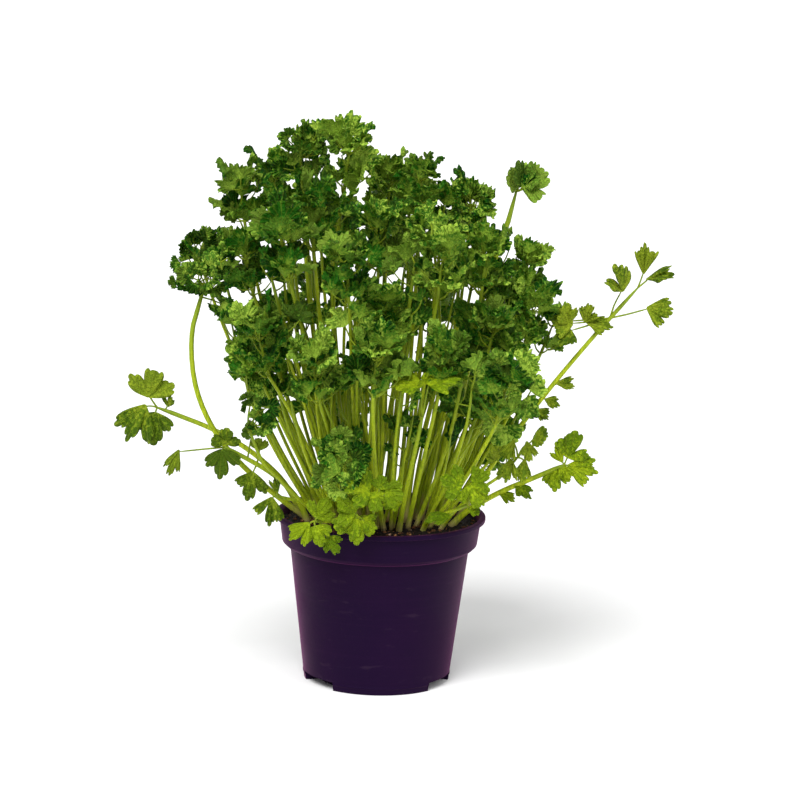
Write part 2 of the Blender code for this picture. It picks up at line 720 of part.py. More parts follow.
def grow_leaflet(builder, frond, leaflet, socket):
    """Grow a leaflet out of four corners of the stalk: its stem, then its blade."""
    habit = frond.planting.habit
    origin = Vector(frond.points[leaflet.anchor]) + leaflet.forward * leaflet.stem
    half_width = leaflet.across * (0.5 * NECK_WIDTH)
    half_depth = leaflet.upward * (0.5 * NECK_THICKNESS)
    neck = [
        builder.verts.new(origin + half_width - half_depth),
        builder.verts.new(origin - half_width - half_depth),
        builder.verts.new(origin - half_width + half_depth),
        builder.verts.new(origin + half_width + half_depth),
    ]
    collar = least_twisted(socket, neck)
    for corner in range(4):
        after = (corner + 1) % 4
        builder.faces.new((socket[corner], socket[after], collar[after], collar[corner]))
    half_blade = leaflet.upward * (0.5 * BLADE_THICKNESS)
    over, under = [neck[2], neck[3]], [neck[1], neck[0]]
    for ahead, aside, wave in reversed(rim_offsets(habit)):
        spot = origin + leaflet.forward * ahead + leaflet.across * aside + leaflet.upward * wave
        over.append(builder.verts.new(spot + half_blade))
        under.append(builder.verts.new(spot - half_blade))
    middle = origin + leaflet.forward * (HOLLOW_PLACE * habit.leaf * MM)
    middle -= leaflet.upward * HOLLOW_DEPTH
    crown = builder.verts.new(middle + half_blade)
    belly = builder.verts.new(middle - half_blade)
    count = len(over)
    for index in range(count):
        after = (index + 1) % count
        builder.faces.new((crown, over[index], over[after]))
        builder.faces.new((belly, under[after], under[index]))
        if index > 0:
            builder.faces.new((under[index], under[after], over[after], over[index]))


def build_frond(frond, soil, finish):
    """Build one frond: six-sided stalk, its fork and tip, and the leaflets grown from them."""
    builder = bmesh.new()
    points = [Vector(point) for point in frond.points]
    rings = []
    stations = [(index, 0.0) for index in range(FORK)]
    fork_steps = (-1.0, 1.0) if frond.planting.habit.has_pair else (0.0,)
    stations += [(FORK, step) for step in fork_steps] + [(TIP, -1.0), (TIP, 1.0)]
    for index, step in stations:
        before = points[max(index - 1, 0)]
        after = points[min(index + 1, TIP)]
        along, first, second = frame_along(after - before, frond.side)
        share = index / TIP
        radius = STALK_BASE_RADIUS + (STALK_TIP_RADIUS - STALK_BASE_RADIUS) * share
        phase = stalk_phase(index)
        centre = points[index] + along * (FORK_HALF_HEIGHT * step)
        ring = []
        for side in range(STALK_SIDES):
            angle = math.tau * (side - 0.5) / STALK_SIDES + phase
            spot = centre + (first * math.cos(angle) + second * math.sin(angle)) * radius
            ring.append(builder.verts.new(spot))
        rings.append(ring)
    spots = [vert.co for vert in rings[0]] + [points[0]]
    seat = max(soil.ray_cast(Vector((spot.x, spot.y, OVERHEAD)), -UP)[0].z for spot in spots)
    for vert in rings[0]:
        vert.co.z = seat + SEAT_GAP
    opened = {}
    for leaflet in frond.leaflets:
        low = len(rings) - (2 if leaflet.anchor == TIP else 4)
        opened[(low, leaflet.face)] = leaflet
    for low, (below, above) in enumerate(zip(rings, rings[1:])):
        for side in range(STALK_SIDES):
            after = (side + 1) % STALK_SIDES
            corners = (below[side], below[after], above[after], above[side])
            leaflet = opened.get((low, side))
            if leaflet is None:
                builder.faces.new(corners)
            else:
                grow_leaflet(builder, frond, leaflet, corners)
    builder.faces.new(reversed(rings[0]))
    top = points[TIP] + (points[TIP] - points[FORK]).normalized() * (FORK_HALF_HEIGHT + BUD_LENGTH)
    bud = builder.verts.new(top)
    for side in range(STALK_SIDES):
        after = (side + 1) % STALK_SIDES
        builder.faces.new((rings[-1][side], rings[-1][after], bud))
    return add_object(f"frond_{frond.planting.name}", builder, finish)


def main():
    """Build the pot, fill it and plant it."""
    clear_scene()
    finishes = {name: make_finish(name) for name in FINISHES}
    build_pot(finishes["pot"])
    compost = build_compost(finishes["compost"])
    bpy.context.view_layer.update()
    soil = BVHTree.FromObject(compost, bpy.context.evaluated_depsgraph_get())
    plantings = list(PLANTED) + back_plantings()
    roots = rooting_points([np.array(planting.tip) * MM for planting in plantings])
    fronds = []
    for planting, root in zip(plantings, roots):
        ground = soil.ray_cast(Vector((root[0], root[1], OVERHEAD)), -UP)[0]
        fronds.append(lay_out(planting, ground + UP * SEAT_GAP))
    jostle(fronds)
    for frond in fronds:
        build_frond(frond, soil, finishes[frond.planting.habit.finish])


main()
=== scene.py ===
"""Looks of the potted parsley: the nursery pot, its compost, and the curly fronds.

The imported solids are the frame. Every frond is read back from its solid (where its stalk runs,
where each leaflet sits and which way it faces) and grown again there with a ribbed stalk and
frilled leaflets. Lengths are metres unless a docstring says millimetres; angles are radians
unless it says degrees.
"""

from __future__ import annotations

import json
import logging
import math
from dataclasses import dataclass, field, replace
from enum import Enum
from typing import Any, Iterable, Sequence
import bmesh
import bpy
import numpy as np
from mathutils import Matrix, Vector, noise
from mathutils.bvhtree import BVHTree


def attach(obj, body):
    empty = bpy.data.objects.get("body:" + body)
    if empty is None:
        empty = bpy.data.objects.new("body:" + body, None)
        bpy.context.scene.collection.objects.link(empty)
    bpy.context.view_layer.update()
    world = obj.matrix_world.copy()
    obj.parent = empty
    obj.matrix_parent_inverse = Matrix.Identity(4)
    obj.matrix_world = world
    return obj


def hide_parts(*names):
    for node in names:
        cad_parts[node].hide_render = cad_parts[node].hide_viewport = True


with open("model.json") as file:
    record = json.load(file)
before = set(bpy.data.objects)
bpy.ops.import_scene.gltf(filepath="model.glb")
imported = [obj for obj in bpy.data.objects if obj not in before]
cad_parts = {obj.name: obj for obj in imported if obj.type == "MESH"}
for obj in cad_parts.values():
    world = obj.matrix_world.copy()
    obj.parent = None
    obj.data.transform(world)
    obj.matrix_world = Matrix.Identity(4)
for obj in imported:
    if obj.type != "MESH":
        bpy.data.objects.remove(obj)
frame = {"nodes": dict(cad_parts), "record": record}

LOG = logging.getLogger("parsley")
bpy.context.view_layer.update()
MM = 0.001
BODY = "root"
UP = np.array((0.0, 0.0, 1.0))
Array = np.ndarray
Chance = np.random.Generator
Triple = tuple[float, float, float]
Colour = Triple
Material = bpy.types.Material
Node = bpy.types.Node
Piece = bpy.types.Object
Profile = Sequence[tuple[float, float]]
Socket = bpy.types.NodeSocket


# --- Finishes ---------------------------------------------------------------------------------


class Palette:
    """A material under construction: short calls that add and join shader nodes."""

    def __init__(self, name: str) -> None:
        """Start an empty node material.

        Args:
            name: the finish's name.
        """
        self.material = bpy.data.materials.new(name)
        self.material.use_nodes = True
        self.tree = self.material.node_tree
        self.tree.nodes.clear()

    def fill(self, socket: Socket, value: Any) -> None:
        """Set a socket to a constant, or join another socket to it.

        Args:
            socket: the input socket.
            value: a number, a vector, a colour, or an output socket.
        """
        if isinstance(value, Socket):
            self.tree.links.new(value, socket)
        else:
            socket.default_value = (*value, 1.0) if socket.type == "RGBA" else value

    def node(self, kind: str, *ordered: Any, settings: dict[str, Any] | None = None, **named: Any) -> Node:
        """Add a node and fill its sockets.

        Args:
            kind: the node type without its ShaderNode prefix.
            ordered: what fills its first sockets.
            settings: properties to set on the node itself.
            named: what fills other sockets, by socket name with _ for a space.

        Returns:
            The new node.
        """
        made = self.tree.nodes.new("ShaderNode" + kind)
        for key, value in (settings or {}).items():
            setattr(made, key, value)
        for place, value in enumerate(ordered):
            self.fill(made.inputs[place], value)
        for key, value in named.items():
            self.fill(made.inputs[key.replace("_", " ")], value)
        return made

    def math(self, operation: str, *values: Any) -> Socket:
        """Combine numbers or sockets with a Math node."""
        return self.node("Math", *values, settings={"operation": operation}).outputs[0]

    def plus(self, first: Any, second: Any) -> Socket:
        """Add two numbers or sockets."""
        return self.math("ADD", first, second)

    def times(self, first: Any, second: Any) -> Socket:
        """Multiply two numbers or sockets."""
        return self.math("MULTIPLY", first, second)

    def blend(self, share: Any, first: Any, second: Any) -> Socket:
        """Mix two colours.

        Args:
            share: how much of the second colour shows, 0 to 1.
            first: colour or socket.
            second: colour or socket.

        Returns:
            The mixed colour's socket.
        """
        made = self.node("Mix", share, settings={"data_type": "RGBA", "clamp_factor": True})
        self.fill(made.inputs[6], first)
        self.fill(made.inputs[7], second)
        return made.outputs[2]

    def ramp(self, value: Any, low: float, high: float, to_low: float = 0.0, to_high: float = 1.0) -> Socket:
        """Stretch a number from the range low..high to to_low..to_high, clamped, with soft ends."""
        soft = {"interpolation_type": "SMOOTHSTEP"}
        return self.node("MapRange", value, low, high, to_low, to_high, settings=soft).outputs[0]

    def grain(self, scale: float, detail: float = 3.0, stretch: Triple = (1.0, 1.0, 1.0)) -> Socket:
        """Add a noise pattern in the object's own coordinates.

        Args:
            scale: pattern repeats per metre.
            detail: octaves of finer pattern.
            stretch: how much each axis is squeezed before the pattern is read.

        Returns:
            The noise value's socket.
        """
        place = self.node("TexCoord").outputs["Object"]
        place = self.node("Mapping", Vector=place, Scale=stretch).outputs[0]
        return self.node("TexNoise", Vector=place, Scale=scale, Detail=detail).outputs[0]

    def attribute(self, name: str) -> list[Socket]:
        """Read a named mesh attribute as its X, Y and Z sockets."""
        made = self.node("Attribute", settings={"attribute_name": name})
        return list(self.node("SeparateXYZ", Vector=made.outputs["Vector"]).outputs)

    def bump(self, height: Socket, depth: float, strength: float) -> Socket:
        """Turn a height pattern, whose full step is depth, into a surface normal."""
        return self.node("Bump", Height=height, Distance=depth, Strength=strength).outputs[0]

    def finish(self, surface: Node) -> Material:
        """Join a shader to the output and hand the material over."""
        self.node("OutputMaterial", Surface=surface.outputs[0])
        return self.material


@dataclass(frozen=True)
class LeafFinish:
    """Green leaf: upper side with its own mottling and painted light and shade, paler underside, radiating veins,
    light shining through.
    """

    name: str
    deep: Colour
    mid: Colour
    lit: Colour
    underside: Colour
    vein: Colour
    glow: Colour
    glow_share: float = 0.34

    def make(self) -> Material:
        """Build the material.

        Returns:
            The finished material.
        """
        paint = Palette(self.name)
        reach, tooth, _ = paint.attribute("fan")
        shade, warmth, _ = paint.attribute("tone")
        blotch = paint.ramp(paint.grain(150.0), 0.32, 0.68)
        fleck = paint.ramp(paint.grain(620.0, 2.0), 0.38, 0.62)
        speckle = paint.grain(1500.0, 2.0)
        off_vein = paint.math("ABSOLUTE", paint.math("SUBTRACT", paint.math("FRACT", tooth), 0.5))
        rib = paint.times(paint.ramp(off_vein, 0.0, 0.16, 1.0, 0.0), paint.ramp(reach, 0.1, 0.45))
        # rim: a painted highlight on the crest of each margin tooth.
        rim = paint.times(paint.ramp(reach, 0.72, 1.0), paint.ramp(off_vein, 0.5, 0.12))
        # Painted light and shade: the share runs the upper side from deep, partly painted shade, through mid to
        # lit, partly painted light. It is made of the rim's painted highlight, a lightening towards the neck,
        # blotches and flecks that are partly the leaf's own mottling and partly painted light and shade on its
        # crinkles, and the tone's shade.
        share = paint.plus(paint.times(rim, 0.20), paint.times(paint.ramp(reach, 0.95, 0.20), 0.40))
        share = paint.plus(share, paint.times(blotch, 0.38))
        share = paint.plus(paint.plus(share, paint.times(fleck, 0.40)), shade)
        top = paint.blend(paint.ramp(share, 0.24, 0.62), self.deep, self.mid)
        top = paint.blend(paint.ramp(share, 0.50, 1.0), top, self.lit)
        top = paint.blend(paint.times(rib, 0.22), top, self.vein)
        under = paint.blend(paint.ramp(share, 0.25, 0.90), self.mid, self.underside)
        under = paint.blend(paint.times(rib, 0.35), under, self.vein)
        colour = paint.blend(paint.attribute("side")[0], top, under)
        colour = paint.blend(paint.times(warmth, 0.5), colour, self.lit)
        height = paint.plus(paint.times(rib, -0.6), paint.times(speckle, 0.35))
        normal = paint.bump(paint.plus(height, paint.times(fleck, 0.7)), 0.0010, 0.9)
        roughness = paint.ramp(speckle, 0.3, 0.7, 0.36, 0.56)
        skin = paint.node(
            "BsdfPrincipled", Base_Color=colour, Roughness=roughness, Normal=normal, Specular_IOR_Level=0.09
        )
        glow = paint.blend(paint.times(rib, 0.5), colour, self.glow)
        through = paint.node("BsdfTranslucent", Color=paint.blend(0.65, glow, self.glow), Normal=normal)
        return paint.finish(paint.node("MixShader", self.glow_share, skin.outputs[0], through.outputs[0]))


@dataclass(frozen=True)
class StalkFinish:
    """Ribbed green stalk: pale at the crown of the plant, bright above, darker near the leaves."""

    name: str = "stalk_skin"
    foot: Colour = (0.560, 0.440, 0.200)
    stem: Colour = (0.460, 0.540, 0.018)
    shadow: Colour = (0.240, 0.330, 0.011)
    tip: Colour = (0.160, 0.240, 0.016)
    ribs: float = 9.0

    def make(self) -> Material:
        """Build the material.

        Returns:
            The finished material.
        """
        paint = Palette(self.name)
        along, around, _ = paint.attribute("fan")
        streak = paint.grain(900.0, 3.0, (1.0, 1.0, 0.06))
        blotch = paint.grain(90.0, 2.0)
        rib = paint.math("SINE", paint.times(around, math.tau * self.ribs))
        colour = paint.blend(paint.ramp(streak, 0.35, 0.7), self.stem, self.shadow)
        colour = paint.blend(paint.ramp(paint.attribute("tone")[0], 0.0, 1.0, 0.0, 0.55), colour, self.shadow)
        colour = paint.blend(paint.ramp(along, 0.62, 1.0, 0.0, 0.85), colour, self.tip)
        foot = paint.plus(along, paint.times(paint.math("SUBTRACT", blotch, 0.5), 0.10))
        colour = paint.blend(paint.ramp(foot, 0.13, 0.0), colour, self.foot)
        skin = paint.node(
            "BsdfPrincipled",
            Base_Color=colour,
            Roughness=paint.ramp(streak, 0.3, 0.7, 0.32, 0.5),
            Normal=paint.bump(paint.plus(paint.times(rib, 0.4), paint.times(streak, 0.5)), 0.0003, 0.5),
            Specular_IOR_Level=0.12,
            Subsurface_Weight=0.25,
            Subsurface_Radius=(0.9, 1.0, 0.3),
            Subsurface_Scale=0.002,
        )
        return paint.finish(skin)


@dataclass(frozen=True)
class PotFinish:
    """Dark aubergine nursery plastic: faint turning lines, a bloom of dust and fine scuffs."""

    name: str = "nursery_plastic"
    base: Colour = (0.0082, 0.0019, 0.0175)
    bloom: Colour = (0.0130, 0.0030, 0.0220)
    dust: Colour = (0.0380, 0.0200, 0.0400)
    sheen: Colour = (1.000, 0.200, 0.700)

    def make(self) -> Material:
        """Build the material.

        Returns:
            The finished material.
        """
        paint = Palette(self.name)
        lines = paint.grain(700.0, 2.0, (0.02, 0.02, 1.0))
        cloud = paint.grain(26.0, 4.0)
        grit = paint.grain(1700.0, 2.0)
        scuff = paint.grain(240.0, 5.0, (0.25, 0.25, 1.0))
        colour = paint.blend(paint.ramp(cloud, 0.35, 0.75, 0.0, 0.5), self.base, self.bloom)
        colour = paint.blend(paint.ramp(lines, 0.45, 0.8, 0.0, 0.35), colour, self.bloom)
        colour = paint.blend(paint.ramp(scuff, 0.62, 0.75, 0.0, 0.30), colour, self.dust)
        skin = paint.node(
            "BsdfPrincipled",
            Base_Color=colour,
            Roughness=paint.ramp(paint.plus(cloud, paint.times(grit, 0.3)), 0.4, 0.9, 0.46, 0.66),
            Normal=paint.bump(paint.plus(paint.times(grit, 0.5), paint.times(lines, 0.5)), 0.00025, 0.35),
            IOR=1.28,
            Specular_IOR_Level=0.12,
            Sheen_Weight=0.19,
            Sheen_Roughness=0.35,
            Sheen_Tint=self.sheen,
        )
        return paint.finish(skin)


@dataclass(frozen=True)
class EarthFinish:
    """Moist peat compost, its crumbs, or the pale grains in it."""

    name: str
    dark: Colour
    mid: Colour
    fleck: Colour
    flecks: float
    wetness: float

    def make(self) -> Material:
        """Build the material.

        Returns:
            The finished material.
        """
        paint = Palette(self.name)
        crumb = paint.grain(420.0, 5.0)
        fine = paint.grain(1600.0, 3.0)
        fibre = paint.grain(900.0, 2.0, (1.0, 0.15, 1.0))
        colour = paint.blend(paint.ramp(crumb, 0.35, 0.68), self.dark, self.mid)
        colour = paint.blend(paint.ramp(fibre, 1.0 - self.flecks, 1.05 - self.flecks), colour, self.fleck)
        skin = paint.node(
            "BsdfPrincipled",
            Base_Color=colour,
            Roughness=paint.ramp(fine, 0.3, 0.7, 0.95 - self.wetness, 1.0 - 0.4 * self.wetness),
            Normal=paint.bump(paint.plus(crumb, paint.times(fine, 0.5)), 0.0012, 0.9),
            Specular_IOR_Level=0.15,
        )
        return paint.finish(skin)


@dataclass(frozen=True)
class FloorFinish:
    """Plain pale paper under the pot."""

    name: str = "studio_paper"
    pale: Colour = (0.90, 0.90, 0.90)
    paler: Colour = (0.94, 0.94, 0.94)

    def make(self) -> Material:
        """Build the material.

        Returns:
            The finished material.
        """
        paint = Palette(self.name)
        colour = paint.blend(paint.grain(4.0, 2.0), self.pale, self.paler)
        roughness = paint.ramp(paint.grain(300.0), 0.0, 1.0, 0.85, 0.95)
        return paint.finish(
            paint.node("BsdfPrincipled", Base_Color=colour, Roughness=roughness, Specular_IOR_Level=0.1)
        )


MATURE_LEAF = LeafFinish(
    name="mature_leaf",
    deep=(0.003, 0.042, 0.002),
    mid=(0.024, 0.175, 0.008),
    lit=(0.530, 0.760, 0.085),
    underside=(0.250, 0.410, 0.032),
    vein=(0.420, 0.590, 0.060),
    glow=(0.270, 0.540, 0.018),
)
OLIVE_LEAF = LeafFinish(
    name="olive_parsley_leaf",
    deep=(0.055, 0.116, 0.005),
    mid=(0.134, 0.232, 0.009),
    lit=(0.317, 0.415, 0.022),
    underside=(0.232, 0.305, 0.024),
    vein=(0.403, 0.488, 0.049),
    glow=(0.260, 0.400, 0.010),
)
YOUNG_LEAF = LeafFinish(
    name="young_leaf",
    deep=(0.115, 0.210, 0.004),
    mid=(0.230, 0.360, 0.007),
    lit=(0.420, 0.560, 0.012),
    underside=(0.230, 0.320, 0.018),
    vein=(0.420, 0.500, 0.060),
    glow=(0.420, 0.560, 0.012),
)
COMPOST = EarthFinish(
    name="peat_compost",
    dark=(0.005, 0.003, 0.004),
    mid=(0.018, 0.011, 0.010),
    fleck=(0.200, 0.085, 0.040),
    flecks=0.34,
    wetness=0.45,
)
CRUMB = EarthFinish(
    name="bark_crumbs",
    dark=(0.045, 0.020, 0.010),
    mid=(0.160, 0.070, 0.028),
    fleck=(0.420, 0.200, 0.080),
    flecks=0.40,
    wetness=0.50,
)
PERLITE = EarthFinish(
    name="perlite_grains",
    dark=(0.190, 0.090, 0.050),
    mid=(0.380, 0.210, 0.140),
    fleck=(0.700, 0.520, 0.420),
    flecks=0.45,
    wetness=0.20,
)


# --- Mesh gathering ---------------------------------------------------------------------------


def stand(name: str, data: bpy.types.ID) -> Piece:
    """Stand a new object in the scene and return it; data is its mesh, light or camera."""
    bpy.context.scene.collection.objects.link(made := bpy.data.objects.new(name, data))
    return made


class Side(Enum):
    """Which side of a leaf a face belongs to."""

    UPPER = 0.0
    LOWER = 1.0


class Skin(Enum):
    """Which of a frond's two material slots a face takes."""

    LEAF = 0
    STALK = 1


class MeshPile:
    """Quads of many small forms, gathered with their shader attributes into one mesh."""

    map_margin: float = 0.02

    def __init__(self) -> None:
        """Start with nothing gathered."""
        self.forms: list[tuple[Array, ...]] = []
        self.count = 0

    def add(
        self, points: Array, quads: Array, patch: Array, fan: Array, side: Array, tone: Triple, slot: int
    ) -> None:
        """Gather one closed form.

        Args:
            points: its vertices, (n, 3).
            quads: its faces, (m, 4).
            patch: each face corner's place in the form's own square map, (m, 4, 2).
            fan: the pattern coordinates of each vertex, (n, 3).
            side: the side that each face is on, (m,).
            tone: its shade and warmth, and a zero.
            slot: the material slot of its faces.
        """
        tones = np.tile(np.array(tone, float), (len(points), 1))
        self.forms.append((points, quads + self.count, patch, fan, side, tones, np.full(len(quads), slot)))
        self.count += len(points)

    def build(self, name: str, finishes: Sequence[Material], crease: float) -> Piece:
        """Make the gathered forms one object, each with its own cell of one square map.

        Args:
            name: the piece's name.
            finishes: materials, one for each slot used.
            crease: edges bent more than this are drawn sharp.

        Returns:
            The new object.
        """
        points, quads, patches, fans, sides, tones, slots = zip(*self.forms)
        mesh = bpy.data.meshes.new(name)
        mesh.from_pydata(np.concatenate(points).tolist(), [], np.concatenate(quads).tolist())
        for finish in finishes:
            mesh.materials.append(finish)
        mesh.polygons.foreach_set("material_index", np.concatenate(slots).astype(np.int32))
        faces = [np.repeat(side[:, None], 3, axis=1) for side in sides]
        for label, domain, values in (("fan", "POINT", fans), ("tone", "POINT", tones), ("side", "FACE", faces)):
            layer = mesh.attributes.new(label, "FLOAT_VECTOR", domain)
            layer.data.foreach_set("vector", np.concatenate(values).astype(np.float32).ravel())
        across = math.ceil(math.sqrt(len(patches)))
        cells = [np.array((number % across, number // across), float) for number in range(len(patches))]
        within = 1.0 - 2.0 * self.map_margin
        placed = [(patch * within + self.map_margin + cell) / across for patch, cell in zip(patches, cells)]
        laid = mesh.uv_layers.new(name="OFBake")
        laid.data.foreach_set("uv", np.concatenate(placed).astype(np.float32).ravel())
        mesh.shade_smooth()
        mesh.set_sharp_from_angle(angle=crease)
        mesh.update()
        return stand(name, mesh)


def grid_quads(rows: int, columns: int, wrap: bool = False) -> tuple[Array, Array]:
    """Return the quads of a grid of vertices numbered row by row, and their map corners.

    Args:
        rows: number of rows of vertices.
        columns: number of vertices in a row.
        wrap: join the last column to the first.

    Returns:
        Faces (m, 4), and the same corners as shares of the grid's width and height (m, 4, 2).
    """
    spans = columns if wrap else columns - 1
    row, column = (side.ravel() for side in np.meshgrid(np.arange(rows - 1), np.arange(spans), indexing="ij"))
    here, above, after = row * columns, (row + 1) * columns, (column + 1) % columns
    wide = np.stack((column, column + 1, column + 1, column), axis=1) / spans
    high = np.stack((row, row, row + 1, row + 1), axis=1) / (rows - 1)
    quads = np.stack((here + column, here + after, above + after, above + column), axis=1)
    return quads, np.stack((wide, high), axis=2)


# --- Reading the frame ------------------------------------------------------------------------


def unit(vector: Array) -> Array:
    """Return a vector, or each row of an array of them, at length one."""
    return vector / np.maximum(np.linalg.norm(vector, axis=-1, keepdims=True), 1e-12)


def squared(vector: Array, axis: Array) -> Array:
    """Return the unit vector nearest to a given one that is square to a unit axis."""
    return unit(vector - axis * (axis @ vector))


def turned(vector: Array, axis: Array, angle: float) -> Array:
    """Return a vector turned about a unit axis."""
    kept = axis * (axis @ vector) * (1.0 - math.cos(angle))
    return vector * math.cos(angle) + np.cross(axis, vector) * math.sin(angle) + kept


def point_at(curve: Array, place: Array, away: float = 0.0) -> Array:
    """Return the point of a curve whose distance from a place comes nearest to away."""
    return curve[np.argmin(np.abs(np.linalg.norm(curve - place, axis=1) - away))]


def way_along(points: Array) -> Array:
    """Return the way along a line of points that has been gone at each of them."""
    return np.concatenate(([0.0], np.cumsum(np.linalg.norm(np.diff(points, axis=0), axis=1))))


def along_curve(points: Array, samples: int) -> Array:
    """Return evenly shared points on a smooth curve through given ones.

    Args:
        points: the points to pass through, (n, 3).
        samples: how many points to return.

    Returns:
        The curve's points, (samples, 3).
    """
    posts = np.vstack((2.0 * points[0] - points[1], points, 2.0 * points[-1] - points[-2]))
    reach = way_along(points)
    wanted = np.linspace(0.0, reach[-1], samples)
    index = np.clip(np.searchsorted(reach, wanted, side="right") - 1, 0, len(points) - 2)
    t = ((wanted - reach[index]) / (reach[index + 1] - reach[index]))[:, None]
    a, b, c, d = (posts[index + shift] for shift in range(4))
    square, cube = 2.0 * a - 5.0 * b + 4.0 * c - d, 3.0 * b - a - 3.0 * c + d
    return 0.5 * (2.0 * b + (c - a) * t + square * t**2 + cube * t**3)


@dataclass
class LeafletPlan:
    """One leaflet: where its blade starts, how it lies, its length and where it hangs on."""

    neck: Array
    forward: Array
    upward: Array
    length: float
    root: Array
    width: float = 1.0
    # shade: darkens or lightens the leaflet; painted light and shade, with the frond's random tone.
    shade: float = 0.0


@dataclass
class FrondPlan:
    """What a solid frond says about the real one."""

    name: str
    spine: Array
    girth: Array
    leaflets: list[LeafletPlan]


@dataclass(frozen=True)
class FrondReader:
    """Reads a frond's solid: its blades are plates fanned around a middle vertex on each side."""

    weld: float = 1e-6
    fan_corners: int = 9
    neck_corners: int = 4
    plate_gap: float = 1.3 * MM
    widest_share: float = 0.98
    seat_step: float = 1e-5

    def welded(self, node: Piece) -> tuple[Array, list[set[int]]]:
        """Return a node's vertices with equal ones merged, and each one's neighbours.

        Args:
            node: the frame's object.

        Returns:
            Places (n, 3) and a set of neighbours for each place.
        """
        mesh = node.data
        mesh.calc_loop_triangles()
        places = np.empty(len(mesh.vertices) * 3, np.float32)
        mesh.vertices.foreach_get("co", places)
        places = places.reshape(-1, 3).astype(float)
        corners = np.empty(len(mesh.loop_triangles) * 3, np.int32)
        mesh.loop_triangles.foreach_get("vertices", corners)
        keys = np.round(places / self.weld).astype(np.int64)
        _, first, merged = np.unique(keys, axis=0, return_index=True, return_inverse=True)
        neighbours: list[set[int]] = [set() for _ in first]
        for a, b, c in merged.ravel()[corners].reshape(-1, 3).tolist():
            neighbours[a] |= {b, c}
            neighbours[b] |= {a, c}
            neighbours[c] |= {a, b}
        return places[first], neighbours

    def blades(self, places: Array, neighbours: list[set[int]]) -> Iterable[tuple[int, int, set[int], set[int]]]:
        """Find the blades.

        Args:
            places: merged vertices.
            neighbours: each one's neighbours.

        Yields:
            For each blade its two middle vertices, all its vertices, and those at its neck.
        """
        middles = [i for i, near in enumerate(neighbours) if len(near) == self.fan_corners]
        for place, i in enumerate(middles):
            for j in middles[place + 1 :]:
                if np.linalg.norm(places[i] - places[j]) > self.plate_gap:
                    continue
                blade = {i, j} | neighbours[i] | neighbours[j]
                neck = {v for v in blade - {i, j} if neighbours[v] - blade}
                if len(neck) == self.neck_corners:
                    yield i, j, blade, neck

    def read(self, name: str) -> FrondPlan:
        """Read one frond.

        Args:
            name: its node.

        Returns:
            The plan of its stalk and leaflets.
        """
        places, neighbours = self.welded(frame["nodes"][name])
        leaflets = []
        stalk = set(range(len(places)))
        for i, j, blade, neck in self.blades(places, neighbours):
            stalk -= blade
            start = places[list(neck)].mean(axis=0)
            middle = 0.5 * (places[i] + places[j])
            rim = places[list(blade - neck - {i, j})]
            upward = unit(places[i] - places[j])
            if (rim.mean(axis=0) - middle) @ upward < 0.0:
                upward = -upward
            length = np.linalg.norm(rim - start, axis=1).max() / self.widest_share
            collar = set().union(*[neighbours[v] for v in neck]) - blade
            root = places[list(collar)].mean(axis=0)
            leaflets.append(LeafletPlan(start, squared(middle - start, upward), upward, float(length), root))
        lowest = min(places[v][2] for v in stalk)
        layer = {v for v in stalk if places[v][2] < lowest + self.seat_step}
        seen = set(layer)
        rings = []
        while layer:
            rings.append(places[list(layer)])
            layer = (set().union(*[neighbours[v] for v in layer]) & stalk) - seen
            seen |= layer
        spine = np.array([ring.mean(axis=0) for ring in rings])
        girth = np.array([np.linalg.norm(ring - ring.mean(axis=0), axis=1).mean() for ring in rings])
        return FrondPlan(name, spine, girth, leaflets)


# --- Leaflets and stalks ----------------------------------------------------------------------


@dataclass(frozen=True)
class LeafStyle:
    """The cut and curl of one sort of leaflet; depths and swings are shares of a blade's length.

    One with a lobe turn is cut in three blades to the neck, one without it is a single round
    blade with two shallow clefts. The sizes here are a curly leaflet's.
    """

    spread: float = math.radians(96.0)
    teeth: int = 12
    tooth_depth: float = 0.11
    taper: float = 0.18
    cup: float = 0.80
    recurve: float = 1.05
    pleat: float = 0.030
    meander: float = 0.075
    crowding: float = 0.45
    billow: float = 0.10
    unrest: float = 0.30
    rows: int = 5
    per_tooth: int = 4
    flute: float = 0.08
    cleft: float = 0.20
    narrowing: float = 0.0
    lobe_turn: float = 0.0
    lobe_lift: float = 0.0
    side_lobe: float = 1.0
    thickness: float = 0.3 * MM
    neck_width: float = 1.0 * MM


SMALL_CUT = LeafStyle(
    spread=math.radians(88.0), teeth=8, tooth_depth=0.14, taper=0.20, cup=0.75, recurve=1.0, pleat=0.032,
    meander=0.08, crowding=0.40, billow=0.12, unrest=0.45, flute=0.09, cleft=0.26,
)
OPEN_CUT = LeafStyle(
    spread=math.radians(34.0), teeth=3, tooth_depth=0.12, taper=0.30, cup=0.35, recurve=0.55, pleat=0.010,
    meander=0.030, crowding=0.10, billow=0.07, unrest=0.12, rows=7, per_tooth=6, flute=0.0, cleft=0.0,
    narrowing=0.10, lobe_turn=math.radians(50.0), lobe_lift=0.16, side_lobe=0.86,
)
FLAT_CUT = replace(
    OPEN_CUT, tooth_depth=0.10, taper=0.36, cup=0.14, recurve=0.40, pleat=0.006, meander=0.014, crowding=0.05,
    billow=0.06, unrest=0.16, rows=8, narrowing=0.14, lobe_turn=math.radians(54.0), lobe_lift=0.14,
)


